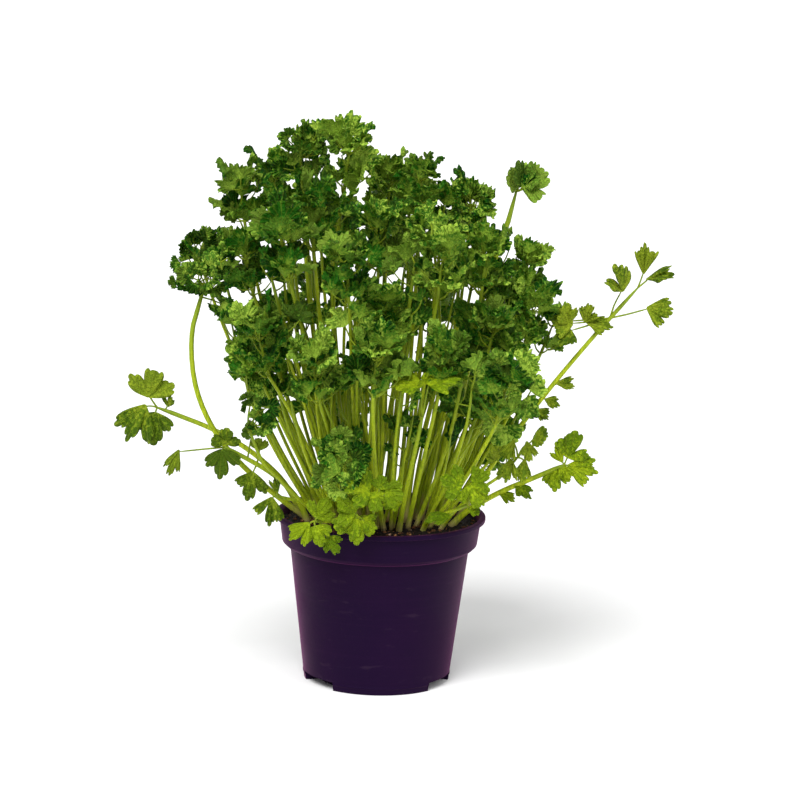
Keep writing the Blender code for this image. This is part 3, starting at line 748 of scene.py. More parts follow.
class Lobe:
    """One lobe of a leaflet: a scalloped wedge, pleated and crisped towards its margin."""

    row_crowding: float = 0.68
    tooth_roundness: float = 0.55
    tooth_unevenness: float = 0.06
    cleft_place: float = 1.0 / 3.0
    cleft_width: float = 0.09

    def __init__(self, style: LeafStyle, chance: Chance) -> None:
        """Lay out the lobe's grid.

        Args:
            style: how its sort is cut and curled.
            chance: the source of its own small differences.
        """
        self.style = style
        rows = np.linspace(0.0, 1.0, style.rows) ** self.row_crowding
        columns = np.linspace(-1.0, 1.0, style.teeth * style.per_tooth + 1)
        self.reach, self.across = np.meshgrid(rows, columns, indexing="ij")
        self.tooth = 0.5 * style.teeth * (self.across + 1.0)
        self.phase = chance.uniform(0.0, math.tau, 4)
        self.sway = chance.uniform(0.7, 1.3, 4)

    def surface(self, length: float, width: float) -> Array:
        """Return the lobe's middle surface: forward, across and up of each grid vertex.

        Args:
            length: the lobe's length.
            width: how wide it spreads beside its style.

        Returns:
            Places (rows, columns, 3) in the lobe's own axes.
        """
        style, u, v = self.style, self.reach, self.across
        scallop = np.abs(np.sin(math.pi * self.tooth)) ** self.tooth_roundness
        uneven = self.tooth_unevenness * np.sin(2.3 * np.floor(self.tooth - 1e-9) + self.phase[0]) * scallop
        ray = 1.0 - style.tooth_depth * (1.0 - scallop) + uneven
        notch = np.exp(-(((np.abs(v) - self.cleft_place) / self.cleft_width) ** 2))
        ray = ray * (1.0 - style.taper * np.abs(v) ** 3.0) * (1.0 - style.cleft * notch) * length
        climb = style.cup * self.sway[0] * np.sin(math.pi * np.minimum(u, 0.6) / 1.2)
        climb = climb - style.recurve * self.sway[1] * u**4 + 0.2 * style.cup * np.sin(2.0 * v + self.phase[1]) * u
        steps = np.diff(u, axis=0, prepend=0.0)
        run = np.cumsum(np.cos(climb) * steps, axis=0)
        rise = np.cumsum(np.sin(climb) * steps, axis=0)
        fold = math.pi * self.tooth + self.phase[2]
        crisp = u**2.8 * self.sway[2]
        angle = width * style.spread * (v - style.crowding / style.teeth * np.sin(2.0 * fold) * crisp)
        angle = angle * (1.0 - style.narrowing * u**2.5)
        lift = style.meander * np.sin(fold) * crisp - style.pleat * np.cos(math.tau * self.tooth) * u**1.5
        lift = lift + style.billow * self.sway[3] * np.sin(2.6 * v + self.phase[3]) * u**1.2
        lift = lift + style.flute * np.sin(9.0 * v + self.phase[1]) * u**2.0
        aside = run * ray * np.sin(angle) + 0.5 * style.neck_width * (1.0 - u) * v
        return np.stack((run * ray * np.cos(angle), aside, rise * ray + lift * length), axis=2)

    def grow(self, pile: MeshPile, plan: LeafletPlan, tone: Triple) -> None:
        """Add the lobe to a pile as a thin closed form whose two skins meet at its margin.

        Args:
            pile: where it goes.
            plan: where it sits and how it lies.
            tone: its shade and warmth, and a zero.
        """
        axes = np.stack((plan.forward, np.cross(plan.upward, plan.forward), plan.upward))
        middle = plan.neck + self.surface(plan.length, plan.width) @ axes
        normal = unit(np.cross(np.gradient(middle, axis=0), np.gradient(middle, axis=1)))
        rows, columns = self.reach.shape
        inner = np.zeros((rows, columns), bool)
        inner[1:-1, 1:-1] = True
        half = 0.5 * self.style.thickness * normal * inner[..., None]
        quads, patch = grid_quads(rows, columns)
        number = np.arange(rows * columns)
        number[inner.ravel()] = rows * columns + np.arange(inner.sum())
        fan = np.stack((self.reach, self.tooth, self.across), axis=2).reshape(-1, 3)
        pile.add(
            np.vstack(((middle + half).reshape(-1, 3), (middle - half)[inner])),
            np.vstack((quads, number[quads][:, ::-1])),
            np.concatenate((patch * (1.0, 0.5), (patch * (1.0, -0.5) + (0.0, 1.0))[:, ::-1])),
            np.vstack((fan, fan[inner.ravel()])),
            np.repeat((Side.UPPER.value, Side.LOWER.value), len(quads)),
            tone,
            Skin.LEAF.value,
        )


@dataclass(frozen=True)
class Leaflet:
    """One leaflet: a single blade, or a middle lobe and two side lobes that lean out of its plane."""

    style: LeafStyle
    chance: Chance
    most_unrest: float = 0.7
    blotching: float = 0.16
    end_reach: float = 0.42
    end_size: float = 0.60
    side_reach: float = 0.18
    side_size: float = 0.56
    side_turn: float = math.radians(64.0)
    side_roll: float = math.radians(32.0)

    def grow(self, pile: MeshPile, plan: LeafletPlan) -> None:
        """Add the leaflet.

        Args:
            pile: where it goes.
            plan: where it sits and how it lies.
        """
        style, chance = self.style, self.chance
        roll, pitch, yaw = chance.normal(0.0, style.unrest, 3).clip(-self.most_unrest, self.most_unrest)
        side = np.cross(plan.upward, plan.forward)
        forward = turned(turned(plan.forward, side, -0.6 * pitch), plan.upward, 0.6 * yaw)
        upward = turned(squared(plan.upward, forward), forward, roll)
        shade = plan.shade + float(np.clip(chance.normal(0.0, self.blotching), -0.32, 0.4))
        warmth = float(chance.uniform(0.0, 1.0) ** 3.0)
        for lean in (0.0, -1.0, 1.0) if style.lobe_turn else (0.0,):
            turn = lean * plan.width * style.lobe_turn * chance.uniform(0.85, 1.1)
            ahead = turned(forward, upward, turn + chance.normal(0.0, 0.3 * style.unrest))
            above = turned(upward, ahead, lean * style.lobe_lift * chance.uniform(0.4, 1.6))
            ahead = turned(ahead, np.cross(above, ahead), chance.normal(0.0, 0.4 * style.unrest))
            size = plan.length * (style.side_lobe if lean else 1.0) * chance.uniform(0.88, 1.08)
            tone = (shade + float(chance.normal(0.0, 0.05)), warmth, 0.0)
            lobe = replace(plan, forward=ahead, upward=squared(above, ahead), length=size)
            Lobe(style, chance).grow(pile, lobe, tone)

    def parts(self, plan: LeafletPlan) -> Iterable[LeafletPlan]:
        """Yield the three parts of a divided leaflet: one on a short stem, two beside it.

        Args:
            plan: the whole leaflet.

        Yields:
            Each part's plan.
        """
        for lean in (0.0, -1.0, 1.0):
            reach, size = (self.side_reach, self.side_size) if lean else (self.end_reach, self.end_size)
            ahead = turned(plan.forward, plan.upward, lean * self.side_turn * self.chance.uniform(0.85, 1.15))
            above = turned(plan.upward, ahead, lean * self.side_roll * self.chance.uniform(0.5, 1.5))
            neck = plan.neck + ahead * reach * plan.length
            length = size * plan.length * self.chance.uniform(0.88, 1.12)
            yield replace(
                plan, neck=neck, forward=ahead, upward=squared(above, ahead), length=length, root=plan.neck
            )


@dataclass(frozen=True)
class Tube:
    """A stalk's tube: sides around it, ribs and the groove along its inner side."""

    sides: int
    rib: float = 0.05
    groove: float = 0.16
    groove_width: float = 0.5
    ribs: int = 5

    def grow(
        self, pile: MeshPile, centre: Array, radius: Array, toward: Array, share: Array, tone: Triple
    ) -> None:
        """Add a tube along a curve, closed at both ends with a small cap.

        Args:
            pile: where it goes.
            centre: the curve, (n, 3).
            radius: the radius at each point.
            toward: the way that the groove faces.
            share: the pattern coordinate along it, 0 at the root and 1 at the leaves.
            tone: its shade, and two zeros.
        """
        along = unit(np.gradient(centre, axis=0))
        first = unit(toward - along * (along @ toward)[:, None])
        second = np.cross(along, first)
        angle = math.tau * np.arange(self.sides) / self.sides
        shape = 1.0 + self.rib * np.cos(self.ribs * angle)
        shape -= self.groove * np.exp(-((np.minimum(angle, math.tau - angle) / self.groove_width) ** 2))
        out = np.cos(angle)[None, :, None] * first[:, None] + np.sin(angle)[None, :, None] * second[:, None]
        ring = centre[:, None] + (radius[:, None] * shape[None, :])[..., None] * out
        rows = len(centre)
        quads, patch = grid_quads(rows, self.sides, wrap=True)
        caps, cap_patches = [], []
        for start, edge, order in ((0, 0.02, 1), ((rows - 1) * self.sides, 0.98, -1)):
            for step in range(self.sides // 2 - 1):
                corner = np.array([step, step + 1, self.sides - 2 - step, self.sides - 1 - step])[::order]
                caps.append(start + corner)
                cap_patches.append(np.stack((0.1 * corner / self.sides, np.full(4, edge)), axis=1))
        around = np.tile(np.arange(self.sides) / self.sides, rows)
        pile.add(
            ring.reshape(-1, 3),
            np.vstack((quads[:, ::-1], caps)),
            np.concatenate((patch[:, ::-1] * (1.0, 0.9) + (0.0, 0.05), cap_patches)),
            np.stack((np.repeat(share, self.sides), around, np.zeros(rows * self.sides)), axis=1),
            np.zeros(len(quads) + len(caps)),
            tone,
            Skin.STALK.value,
        )


# --- Fronds -----------------------------------------------------------------------------------


class Habit(Enum):
    """How a frond is leafed, with the cut of its leaflets."""

    CURLY = LeafStyle()
    OPEN = OPEN_CUT
    YOUNG = FLAT_CUT


@dataclass(frozen=True)
class SideLeaf:
    """A leaflet of a loosely leafed frond.

    Lengths are millimetres and headings degrees, from the right-hand side upwards. Its stem
    starts `back` from the stalk's tip, `face` is how far its upper side turns to the front, and
    `shade` is painted light and shade that darkens or lightens the leaflet.
    """

    back: float
    stem_heading: float
    stem: float
    heading: float
    length: float
    width: float = 1.0
    face: float = 0.8
    shade: float = 0.0

    def plan(self, curve: Array) -> LeafletPlan:
        """Place the leaflet on a stalk.

        Args:
            curve: the stalk's curve.

        Returns:
            The leaflet's plan.
        """
        root = point_at(curve, curve[-1], self.back * MM)
        out, ahead = math.radians(self.stem_heading), math.radians(self.heading)
        neck = root + self.stem * MM * unit(np.array((math.cos(out), -0.25, math.sin(out))))
        forward = unit(np.array((math.cos(ahead), -0.2, math.sin(ahead))))
        lift = np.array((-math.sin(ahead), 0.0, math.cos(ahead))) * math.copysign(1.0, math.cos(ahead))
        upward = lift * (1.0 - self.face) + np.array((0.0, -self.face, 0.0))
        return LeafletPlan(neck, forward, squared(upward, forward), self.length * MM, root, self.width, self.shade)


@dataclass(frozen=True)
class StalkBend:
    """How far a stalk strays from its solid's middle line, in millimetres, midway and at its tip."""

    bow: Sequence[float] = (0, 0, 0)
    lean: Sequence[float] = (0, 0, 0)
    stout: float = 1.0


STRAIGHT = StalkBend()
STALK_BENDS: dict[str | None, StalkBend] = {
    "frond_wing_left_arch": StalkBend(bow=(-8, 0, -3), lean=(9, 0, 0), stout=1.6),
    "frond_outlier_right": StalkBend(bow=(-13, 0, 0), lean=(-8.5, 0, -1), stout=1.5),
    "frond_long_branch": StalkBend(bow=(-0.5, 0, 0.5), stout=1.4),
    "frond_low_left": StalkBend(bow=(2, 0, 4), lean=(0, 0, 1), stout=1.6),
    "frond_low_left_inner": StalkBend(bow=(0, 0, 2), stout=1.4),
    "frond_low_right": StalkBend(bow=(0, 0, 1.5), lean=(0, 0, 2), stout=1.7),
    "frond_crown_right": StalkBend(bow=(-9, 15, 0), lean=(-2, 0, -4)),
    "frond_left_middle": StalkBend(lean=(7, 0, 0)),
    "frond_skirt_left": StalkBend(lean=(6, 0, 0)),
    "frond_outer_right": StalkBend(lean=(-6, 0, 0)),
    "frond_wing_right": StalkBend(lean=(-5, 0, -3)),
}
# Each row holds the fields of SideLeaf in order; a shade of 0 is left out.
LOOSE_FRONDS: dict[str, Sequence[Sequence[float]]] = {
    "long_branch": (
        (0, 72, 9, 87, 21, 0.42, 0.9), (0, 50, 7, 6, 19, 0.4, 0.45), (19, 68, 18, 118, 17, 0.85, 0.5),
        (20, 20, 22, -14, 17, 0.62, 0.7), (21, 188, 15, 70, 12, 0.6, 0.8), (21, 190, 14, -12, 15, 0.5, 0.5),
        (21, 188, 22, 168, 14, 0.9, 0.7), (21, 186, 24, 112, 13, 0.9, 0.7), (21, 195, 24, 238, 12, 0.8, 0.7),
        (77, 40, 3, -12, 12, 0.5, 0.6), (84, 300, 2, -30, 9, 0.7, 0.6), (92, 300, 2, -48, 9, 0.7, 0.6),
    ),
    "low_left": (
        (0, 128, 8, 84, 20, 0.95, 0.9), (0, 165, 7, 238, 24, 0.62, 0.9), (0, 250, 3, 270, 18, 0.95, 0.9),
        (4, 50, 3, 78, 8, 0.6, 0.9),
    ),
    "low_left_inner": (
        (0, 182, 26, 246, 15, 0.4, 0.7), (0, 215, 2, 262, 16, 0.9, 0.9), (2, 110, 3, 95, 11, 1.2, 0.9),
        (20, 245, 5, 250, 15, 0.75, 0.9), (20, 80, 9, 85, 9, 0.8, 0.9), (14, 80, 15, 95, 8, 0.9, 0.9),
    ),
    "low_right": (
        (0, 72, 5, 64, 16, 0.95, 0.9), (0, 0, 2, -12, 18, 0.6, 0.9), (1, 120, 2, 127, 11, 0.45, 0.9),
        (7, 60, 1, 264, 14, 0.8, 0.8, -0.15), (4, 60, 1, 300, 11, 0.6, 0.8, -0.1),
        (33, 40, 3, -38, 12, 0.6, 0.6, -0.15), (42, 40, 2, -30, 11, 0.5, 0.6, -0.15),
    ),
    "low_right_inner": (
        (0, 104, 11, 262, 14, 0.5, 0.75), (0, 190, 4, 268, 15, 0.55, 0.75), (0, 66, 11, 274, 13, 0.5, 0.75),
        (0, -10, 4, 268, 14, 0.5, 0.75), (0, 58, 17, -24, 9, 1.1, 0.7, -0.3), (8, 140, 8, 120, 11, 1, 0.7),
    ),
    "right_skirt_low": (
        (0, 100, 3, -32, 14, 1, 0.8), (12, 190, 4, 262, 14, 1.4, 0.9), (0, 62, 13, 60, 12, 1.1, 0.7),
        (4, 120, 6, 140, 13, 1.1, 0.7), (14, 160, 9, 170, 10, 1, 0.7),
    ),
    "wing_left_arch": (
        (2, 168, 12, 178, 12, 0.9, 0.7), (2, 145, 5, 152, 15, 0.9, 0.7), (0, 110, 3, 118, 14, 0.9, 0.6),
        (0, 70, 4, 66, 17, 0.9, 0.6), (2, 30, 3, 18, 18, 0.9, 0.7), (4, -10, 6, -20, 14, 0.9, 0.8),
    ),
    "rim_left": (
        (0, 200, 2, 262, 17, 0.6, 0.9), (2, 90, 2, 97, 10, 0.35, 0.8),
    ),
    "rim_front": (
        (0, 170, 1, 205, 15, 1, 0.85), (0, 240, 2, 268, 13, 1, 0.85), (0, 130, 4, 150, 13, 1.1, 0.6),
        (0, 330, 2, 330, 9, 0.8, 0.8),
    ),
    "rim_front_left": (
        (2, 80, 2, 62, 13, 0.9, 0.8), (0, 200, 3, 236, 16, 0.6, 0.85), (0, 280, 3, 287, 13, 1, 0.85),
        (6, 300, 10, 300, 11, 0.8, 0.8),
    ),
    "bright_leaf": (
        (0, 95, 20, 184, 16, 0.85, 0.35, 0.3), (0, 85, 20, -2, 17, 0.85, 0.35, 0.3), (0, 90, 20, 92, 7, 1.4, 0.5),
        (64, 190, 2, 196, 12, 0.7, 0.35),
    ),
    "young_middle": (
        (0, 110, 8, 155, 15, 1.1, 0.7), (0, 95, 6, 283, 12, 1.1, 0.85), (0, 45, 9, -8, 12, 1, 0.8),
        (0, 70, 9, 70, 9, 1, 0.8),
    ),
    "young_right": (
        (0, 108, 12, 155, 14, 1, 0.8), (0, 85, 12, 296, 15, 0.8, 0.85), (0, 80, 13, 35, 13, 0.9, 0.8),
        (10, 250, 3, 200, 15, 0.6, 0.4, -0.5), (0, 280, 2, -20, 8, 0.6, 0.4),
    ),
    "low_middle": (
        (0, 84, 14, 88, 15, 1, 0.85, -0.15), (0, 105, 5, 100, 16, 1, 0.85, -0.2),
        (0, 50, 8, 44, 17, 1, 0.85, -0.3),
        (0, 20, 3, 0, 16, 0.9, 0.7, 0.1), (0, 320, 3, 318, 15, 0.9, 0.7, 0), (6, 250, 3, 276, 15, 1, 0.9, 0.2),
        (8, 150, 3, 160, 14, 1, 0.8, -0.35),
    ),
    "outlier_right": (
        (0, 27, 5, 20, 19, 0.9, 0.45, -0.1), (0, 38, 6, 54, 16, 1, 0.45, -0.25),
        (0, 54, 5, 98, 14, 1.1, 0.5, -0.6),
        (0, 74, 3, 134, 13, 1.1, 0.5, -0.7), (0, 27, 4, 38, 13, 1.1, 0.9, -0.3),
    ),
    "crown_left": (
        (0, 110, 6, 138, 18, 0.9, 0.6), (0, 90, 7, 98, 17, 0.9, 0.55, 0.15), (0, 58, 13, 74, 14, 1, 0.6),
        (0, 60, 6, 34, 18, 0.9, 0.6), (2, 20, 4, 12, 17, 0.9, 0.7), (6, 160, 4, 168, 17, 0.9, 0.7),
    ),
    "wing_left_high": (
        (3, 150, 4, 160, 14, 0.8, 0.6), (0, 110, 4, 100, 14, 0.8, 0.5), (0, 60, 4, 62, 15, 0.8, 0.5),
        (0, 30, 4, 24, 22, 0.9, 0.6), (8, 170, 6, 184, 14, 0.8, 0.7),
    ),
    "skirt_left": (
        (0, 70, 4, 80, 16, 1, 0.7), (0, 25, 4, 20, 19, 1, 0.7), (0, -20, 3, -32, 17, 1, 0.7),
        (4, 130, 2, 130, 8, 1, 0.7),
    ),
    "skirt_left_front": (
        (0, 84, 13, 98, 12, 1, 0.7), (0, 60, 11, 30, 16, 1, 0.7), (0, 20, 4, 5, 15, 1, 0.7),
        (9, 110, 4, 120, 8, 1, 0.7),
    ),
    "fan_right": (
        (9, 150, 3, 154, 22, 0.9, 0.55), (9, 105, 3, 118, 21, 0.9, 0.6, 0.1), (9, 60, 3, 74, 20, 0.9, 0.6),
        (9, 20, 3, 28, 22, 0.9, 0.55, 0.1),
    ),
}
SIDE_LEAVES: dict[str | None, list[SideLeaf]] = {
    "frond_" + name: [SideLeaf(*row) for row in rows] for name, rows in LOOSE_FRONDS.items()
}


@dataclass
class Frond:
    """One frond: ribbed stalk, fine leaflet stems, crisped leaflets and smaller ones between."""

    plan: FrondPlan
    habit: Habit
    chance: Chance
    stands_for: str | None = None
    stations: int = 24
    sway: float = 2.4 * MM
    slimming: float = 0.86
    sheath_length: float = 12.0 * MM
    sheath_swell: float = 0.35
    rooting_depth: float = 2.0 * MM
    stem_radius: float = 0.58 * MM
    stem_tip_radius: float = 0.45 * MM
    stem_sag: float = 0.10
    stem_share: float = 0.82
    part_stem: float = 0.75
    part_sides: int = 4
    tip_taper: Sequence[float] = (0.8, 0.45)
    overlap: float = 1.2 * MM
    fillers: int = 6
    filler_length: float = 12.5 * MM
    filler_stem: float = 12.5 * MM
    filler_girth: float = 0.85
    head_depth: float = 24.0 * MM
    golden_turn: float = 2.4
    gather: float = 0.4
    crease: float = math.radians(95.0)
    mood: float = 0.11
    # Painted light: fronds are drawn lighter the further right their tips stand.
    rightward_painted_light: float = 0.9

    def tone(self, least: float) -> Triple:
        """Draw a stalk's shade, from least to 1."""
        return float(self.chance.uniform(least, 1.0)), 0.0, 0.0

    def grow_stalk(self, pile: MeshPile, bend: StalkBend) -> Array:
        """Add the stalk.

        Args:
            pile: where it goes.
            bend: how it strays from its solid.

        Returns:
            The stalk's curve, from its root to its tip.
        """
        spine = self.plan.spine.copy()
        spine[0, 2] -= self.rooting_depth
        curve = along_curve(spine, self.stations)
        loose = self.habit is Habit.CURLY and self.stands_for not in SIDE_LEAVES
        bow = self.chance.normal(0.0, self.sway, 3) * (1.0, 1.0, 0.0) * loose
        step = np.linspace(0.0, 1.0, self.stations)[:, None]
        curve += np.sin(math.pi * step) * (bow + np.array(bend.bow) * MM) + step**3.0 * np.array(bend.lean) * MM
        reach = way_along(curve)
        share = reach / reach[-1]
        slim = self.slimming * self.chance.uniform(0.85, 1.12) * bend.stout
        radius = np.interp(share, (0.0, 1.0), (self.plan.girth[0], self.plan.girth[-3])) * slim
        radius = radius * (1.0 + self.sheath_swell * np.exp(-reach / self.sheath_length))
        radius[-2:] *= self.tip_taper
        inward = unit(np.array((0.0, 0.0, 1.2 * spine[-1, 2])) - spine[len(spine) // 2])
        Tube(sides=10).grow(pile, curve, radius, inward, share, self.tone(0.0))
        return curve

    def grow_stem(
        self, pile: MeshPile, root: Array, plan: LeafletPlan, thick: float = 1.0, sides: int = 6
    ) -> None:
        """Add a leaflet's own stem, bowed from the stalk to the blade's neck.

        Args:
            pile: where it goes.
            root: where it leaves the stalk.
            plan: the leaflet it carries.
            thick: how thick it is beside a main leaflet's stem.
            sides: how many sides it has, which is also its count of stations.
        """
        end = plan.neck + plan.forward * self.overlap
        middle = 0.5 * (root + plan.neck) - plan.upward * (self.stem_sag * np.linalg.norm(plan.neck - root))
        curve = along_curve(np.array((root, middle, end)), sides)
        radius = np.linspace(self.stem_radius, self.stem_tip_radius, sides) * thick
        radius[-1] *= 0.5
        share = np.linspace(self.stem_share, 1.0, sides)
        Tube(sides=sides, groove=0.08).grow(pile, curve, radius, plan.upward, share, self.tone(0.2))

    def grow_leaflet(self, pile: MeshPile, plan: LeafletPlan) -> None:
        """Add a main leaflet: a divided one on a curly frond, a plain one on others.

        Args:
            pile: where it goes.
            plan: where it sits and how it lies.
        """
        leaflet = Leaflet(self.habit.value, self.chance)
        if self.habit is not Habit.CURLY:
            leaflet.grow(pile, plan)
            return
        for part in leaflet.parts(plan):
            self.grow_stem(pile, plan.neck, part, self.part_stem, self.part_sides)
            leaflet.grow(pile, part)

    def filler_plans(self, curve: Array, shade: float) -> Iterable[LeafletPlan]:
        """Yield the smaller leaflets that fill the head between the main ones.

        Args:
            curve: the stalk's curve.
            shade: their shade.

        Yields:
            Each one's plan.
        """
        chance = self.chance
        along = unit(curve[-1] - curve[-4])
        side = unit(np.cross(along, (0.3, 1.0, 0.1)))
        other = np.cross(along, side)
        inward = unit(curve[-1] * (-1.0, -1.0, 0.0))
        start = chance.uniform(0.0, math.tau)
        for number in range(self.fillers):
            turn = start + self.golden_turn * number + chance.uniform(-0.3, 0.3)
            rise = chance.uniform(0.25, 0.95)
            outward = side * math.cos(turn) + other * math.sin(turn)
            forward = unit(outward * math.cos(rise) + along * math.sin(rise) + UP * 0.25 + inward * self.gather)
            back = self.head_depth * (number + chance.uniform(0.0, 1.0)) / self.fillers
            root = point_at(curve, curve[-1], back)
            stem = self.filler_stem * chance.uniform(0.5, 1.2)
            length = self.filler_length * chance.uniform(0.8, 1.2)
            yield LeafletPlan(root + forward * stem, forward, squared(along, forward), length, root, shade=shade)

    def build(self, leaf: Material, stalk: Material) -> Piece:
        """Build the frond as one piece that stands for its solid.

        Args:
            leaf: the leaflets' finish.
            stalk: the stalk's finish.

        Returns:
            The piece.
        """
        pile = MeshPile()
        bend = STALK_BENDS.get(self.stands_for, STRAIGHT)
        curve = self.grow_stalk(pile, bend)
        leaflets = [leaflet.plan(curve) for leaflet in SIDE_LEAVES.get(self.stands_for, ())]
        if not leaflets:
            lean = np.array(bend.lean) * MM
            leaflets = [replace(read, neck=read.neck + lean, root=read.root + lean) for read in self.plan.leaflets]
        # The frond's shade: a random tone plus painted light, lighter the further right its tip stands.
        mood = float(self.chance.normal(0.0, self.mood)) + self.rightward_painted_light * self.plan.spine[-1, 0]
        for leaflet in leaflets:
            leaflet.shade += mood
            self.grow_stem(pile, 0.5 * (point_at(curve, leaflet.root) + leaflet.root), leaflet)
            self.grow_leaflet(pile, leaflet)
        if self.habit is Habit.CURLY:
            for filler in self.filler_plans(curve, mood):
                self.grow_stem(pile, filler.root, filler, self.filler_girth)
                Leaflet(SMALL_CUT, self.chance).grow(pile, filler)
        piece = pile.build(self.plan.name, (leaf, stalk), self.crease)
        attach(piece, BODY)
        if self.stands_for:
            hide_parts(self.stands_for)
        return piece


@dataclass
class Plant:
    """All the fronds: those of the frame, and thinner ones that stand between them."""

    seed: int = 416
    inner_seed: int = 1000
    reader: FrondReader = field(default_factory=FrondReader)
    open_fronds: Sequence[str] = ("long_branch", "low_right_inner", "right_skirt_low", "outlier_right")
    olive_fronds: Sequence[str] = ("long_branch", "low_left", "low_left_inner", "low_right_inner", "rim_left")
    lone_fronds: Sequence[str] = ("outlier_right", "wing_left_arch", "skirt_left_front", "outer_right")
    filled_gaps: Sequence[tuple[str, str]] = (
        ("heart_left", "right_heart"), ("middle_front", "right_heart"), ("middle_front", "skirt_middle_right"),
        ("fan_middle", "right_heart"), ("crown_left", "shoulder_left"), ("heart_left", "crown_right"),
        ("fan_back", "fan_middle"), ("back_01", "back_05"), ("fan_right", "right_heart"),
        ("fan_back", "right_heart"), ("crown_front", "crown_right"), ("crown_front", "heart_left"),
        ("fan_middle", "fan_right"), ("fan_right", "right_high"), ("shoulder_back", "shoulder_left"),
        ("right_heart", "skirt_middle"), ("crown_left", "left_heart"),
    )
    inner_fronds: int = 60
    bare_stalks: int = 8
    crossing_stalks: int = 36
    most_uses: int = 4
    root_gap: float = 5.0 * MM
    nearest: float = 14.0 * MM
    farthest: float = 55.0 * MM
    stoutness: float = 0.85
    crossing_stoutness: float = 0.62
    root_reach: float = 42.0 * MM
    upper_girth: float = 0.8
    posts: int = 8
    fine_posts: int = 40
    high_tip: float = 0.20
    high_fillers: int = 6
    low_fillers: int = 4
    inner_head: float = 16.0 * MM

    def between(self, plans: list[FrondPlan]) -> list[FrondPlan]:
        """Plan the thinner fronds: some midway between two neighbours, some crossing between them.

        Args:
            plans: the curly fronds of the frame.

        Returns:
            The plans of the thinner fronds.
        """
        chance = np.random.default_rng(self.seed)
        pairs = []
        for place, first in enumerate(plans):
            for second in plans[place + 1 :]:
                roots, tips = (np.linalg.norm(first.spine[end] - second.spine[end]) for end in (0, -1))
                if self.nearest < tips < self.farthest and roots > self.root_gap:
                    pairs.append((first, second))
        uses = {plan.name: 0 for plan in plans}
        named = {plan.name: plan for plan in plans}
        chosen = [(named["frond_" + first], named["frond_" + second]) for first, second in self.filled_gaps]
        made = []
        for first, second in chosen + [pairs[place] for place in chance.permutation(len(pairs))]:
            done = len(made)
            enough = done == self.inner_fronds + self.bare_stalks
            if enough or max(uses[first.name], uses[second.name]) > self.most_uses:
                continue
            uses[first.name] += 1
            uses[second.name] += 1
            rooted = 0.5 if done < len(chosen) else chance.uniform(-0.1, 1.1)
            reached = chance.uniform(0.4, 0.6)
            height = chance.uniform(0.45, 0.70) if done % 3 == 2 else chance.uniform(0.84, 1.0)
            height = height if done < self.inner_fronds else chance.uniform(0.60, 0.80)
            name = f"{'inner_frond' if done < self.inner_fronds else 'bare_stalk'}_{done + 1:02d}"
            made.append(self.blend(name, (first, second), (rooted, reached), height, self.stoutness))
        for place in chance.permutation(len(pairs))[: self.crossing_stalks]:
            shares = chance.uniform(0.75, 1.05), chance.uniform(-0.2, 0.1)
            name = f"bare_stalk_{len(made) + 1:02d}"
            height = chance.uniform(0.62, 0.85)
            made.append(self.blend(name, pairs[place], shares, height, self.crossing_stoutness))
        return made

    def blend(
        self, name: str, pair: Sequence[FrondPlan], shares: tuple[float, float], height: float, stout: float
    ) -> FrondPlan:
        """Plan a stalk that runs between two others.

        Args:
            name: the piece's name.
            pair: its two neighbours.
            shares: how much of the first neighbour's way it takes, at the root and at the tip.
            height: how far up that way it grows, as a share.
            stout: its thickness as a share of theirs.

        Returns:
            The plan, without leaflets.
        """
        share = np.linspace(*shares, self.posts)[:, None]
        one, other = (along_curve(neighbour.spine, self.posts) for neighbour in pair)
        spine = share * one + (1.0 - share) * other
        spine[0, :2] *= min(1.0, self.root_reach / float(np.linalg.norm(spine[0, :2])))
        full = along_curve(spine, self.fine_posts)[: int(self.fine_posts * height)]
        girth = np.full(self.posts, stout * 0.5 * (pair[0].girth[0] + pair[1].girth[0]))
        girth[self.posts // 2 :] *= self.upper_girth
        return FrondPlan(name, along_curve(full, self.posts), girth, [])

    def build(self) -> Iterable[Piece]:
        """Grow every frond of the frame around its solid, then those between.

        Yields:
            Each frond's piece.
        """
        mature, young, olive = MATURE_LEAF.make(), YOUNG_LEAF.make(), OLIVE_LEAF.make()
        stalk = StalkFinish().make()
        slots = {entry["node"]: entry["material_slot"] for entry in frame["record"]["subparts"]}
        curly = []
        for number, node in enumerate(sorted(name for name in frame["nodes"] if name.startswith("frond_"))):
            name = node.removeprefix("frond_")
            habit = Habit.YOUNG if slots[node] == "young_leaf" else Habit.CURLY
            habit = Habit.OPEN if name in self.open_fronds else habit
            lone = name in self.lone_fronds
            plan = self.reader.read(node)
            if habit is Habit.CURLY and not lone:
                curly.append(plan)
            leaf = olive if name in self.olive_fronds else young if habit is Habit.YOUNG else mature
            fillers = 0 if lone else self.high_fillers if plan.spine[-1, 2] > self.high_tip else self.low_fillers
            chance = np.random.default_rng((self.seed, number))
            plan = replace(plan, name="leafy_" + name)
            yield Frond(plan, habit, chance, node, fillers=fillers).build(leaf, stalk)
        for number, plan in enumerate(self.between(curly)):
            chance = np.random.default_rng((self.seed, self.inner_seed + number))
            fillers = 0 if plan.name.startswith("bare") else self.low_fillers
            frond = Frond(plan, Habit.CURLY, chance, fillers=fillers, head_depth=self.inner_head)
            yield frond.build(mature, stalk)


# --- The pot and its compost ------------------------------------------------------------------


def polar(radius: float, azimuth: float, height: float) -> Triple:
    """Return the place at a radius, azimuth and height, from sizes in millimetres."""
    return radius * math.cos(azimuth) * MM, radius * math.sin(azimuth) * MM, height * MM


def ring_of(form: bmesh.types.BMesh, radius: float, height: float, sides: int) -> list[bmesh.types.BMVert]:
    """Add a ring of vertices about the axis to a form, from sizes in millimetres."""
    return [form.verts.new(polar(radius, math.tau * side / sides, height)) for side in range(sides)]


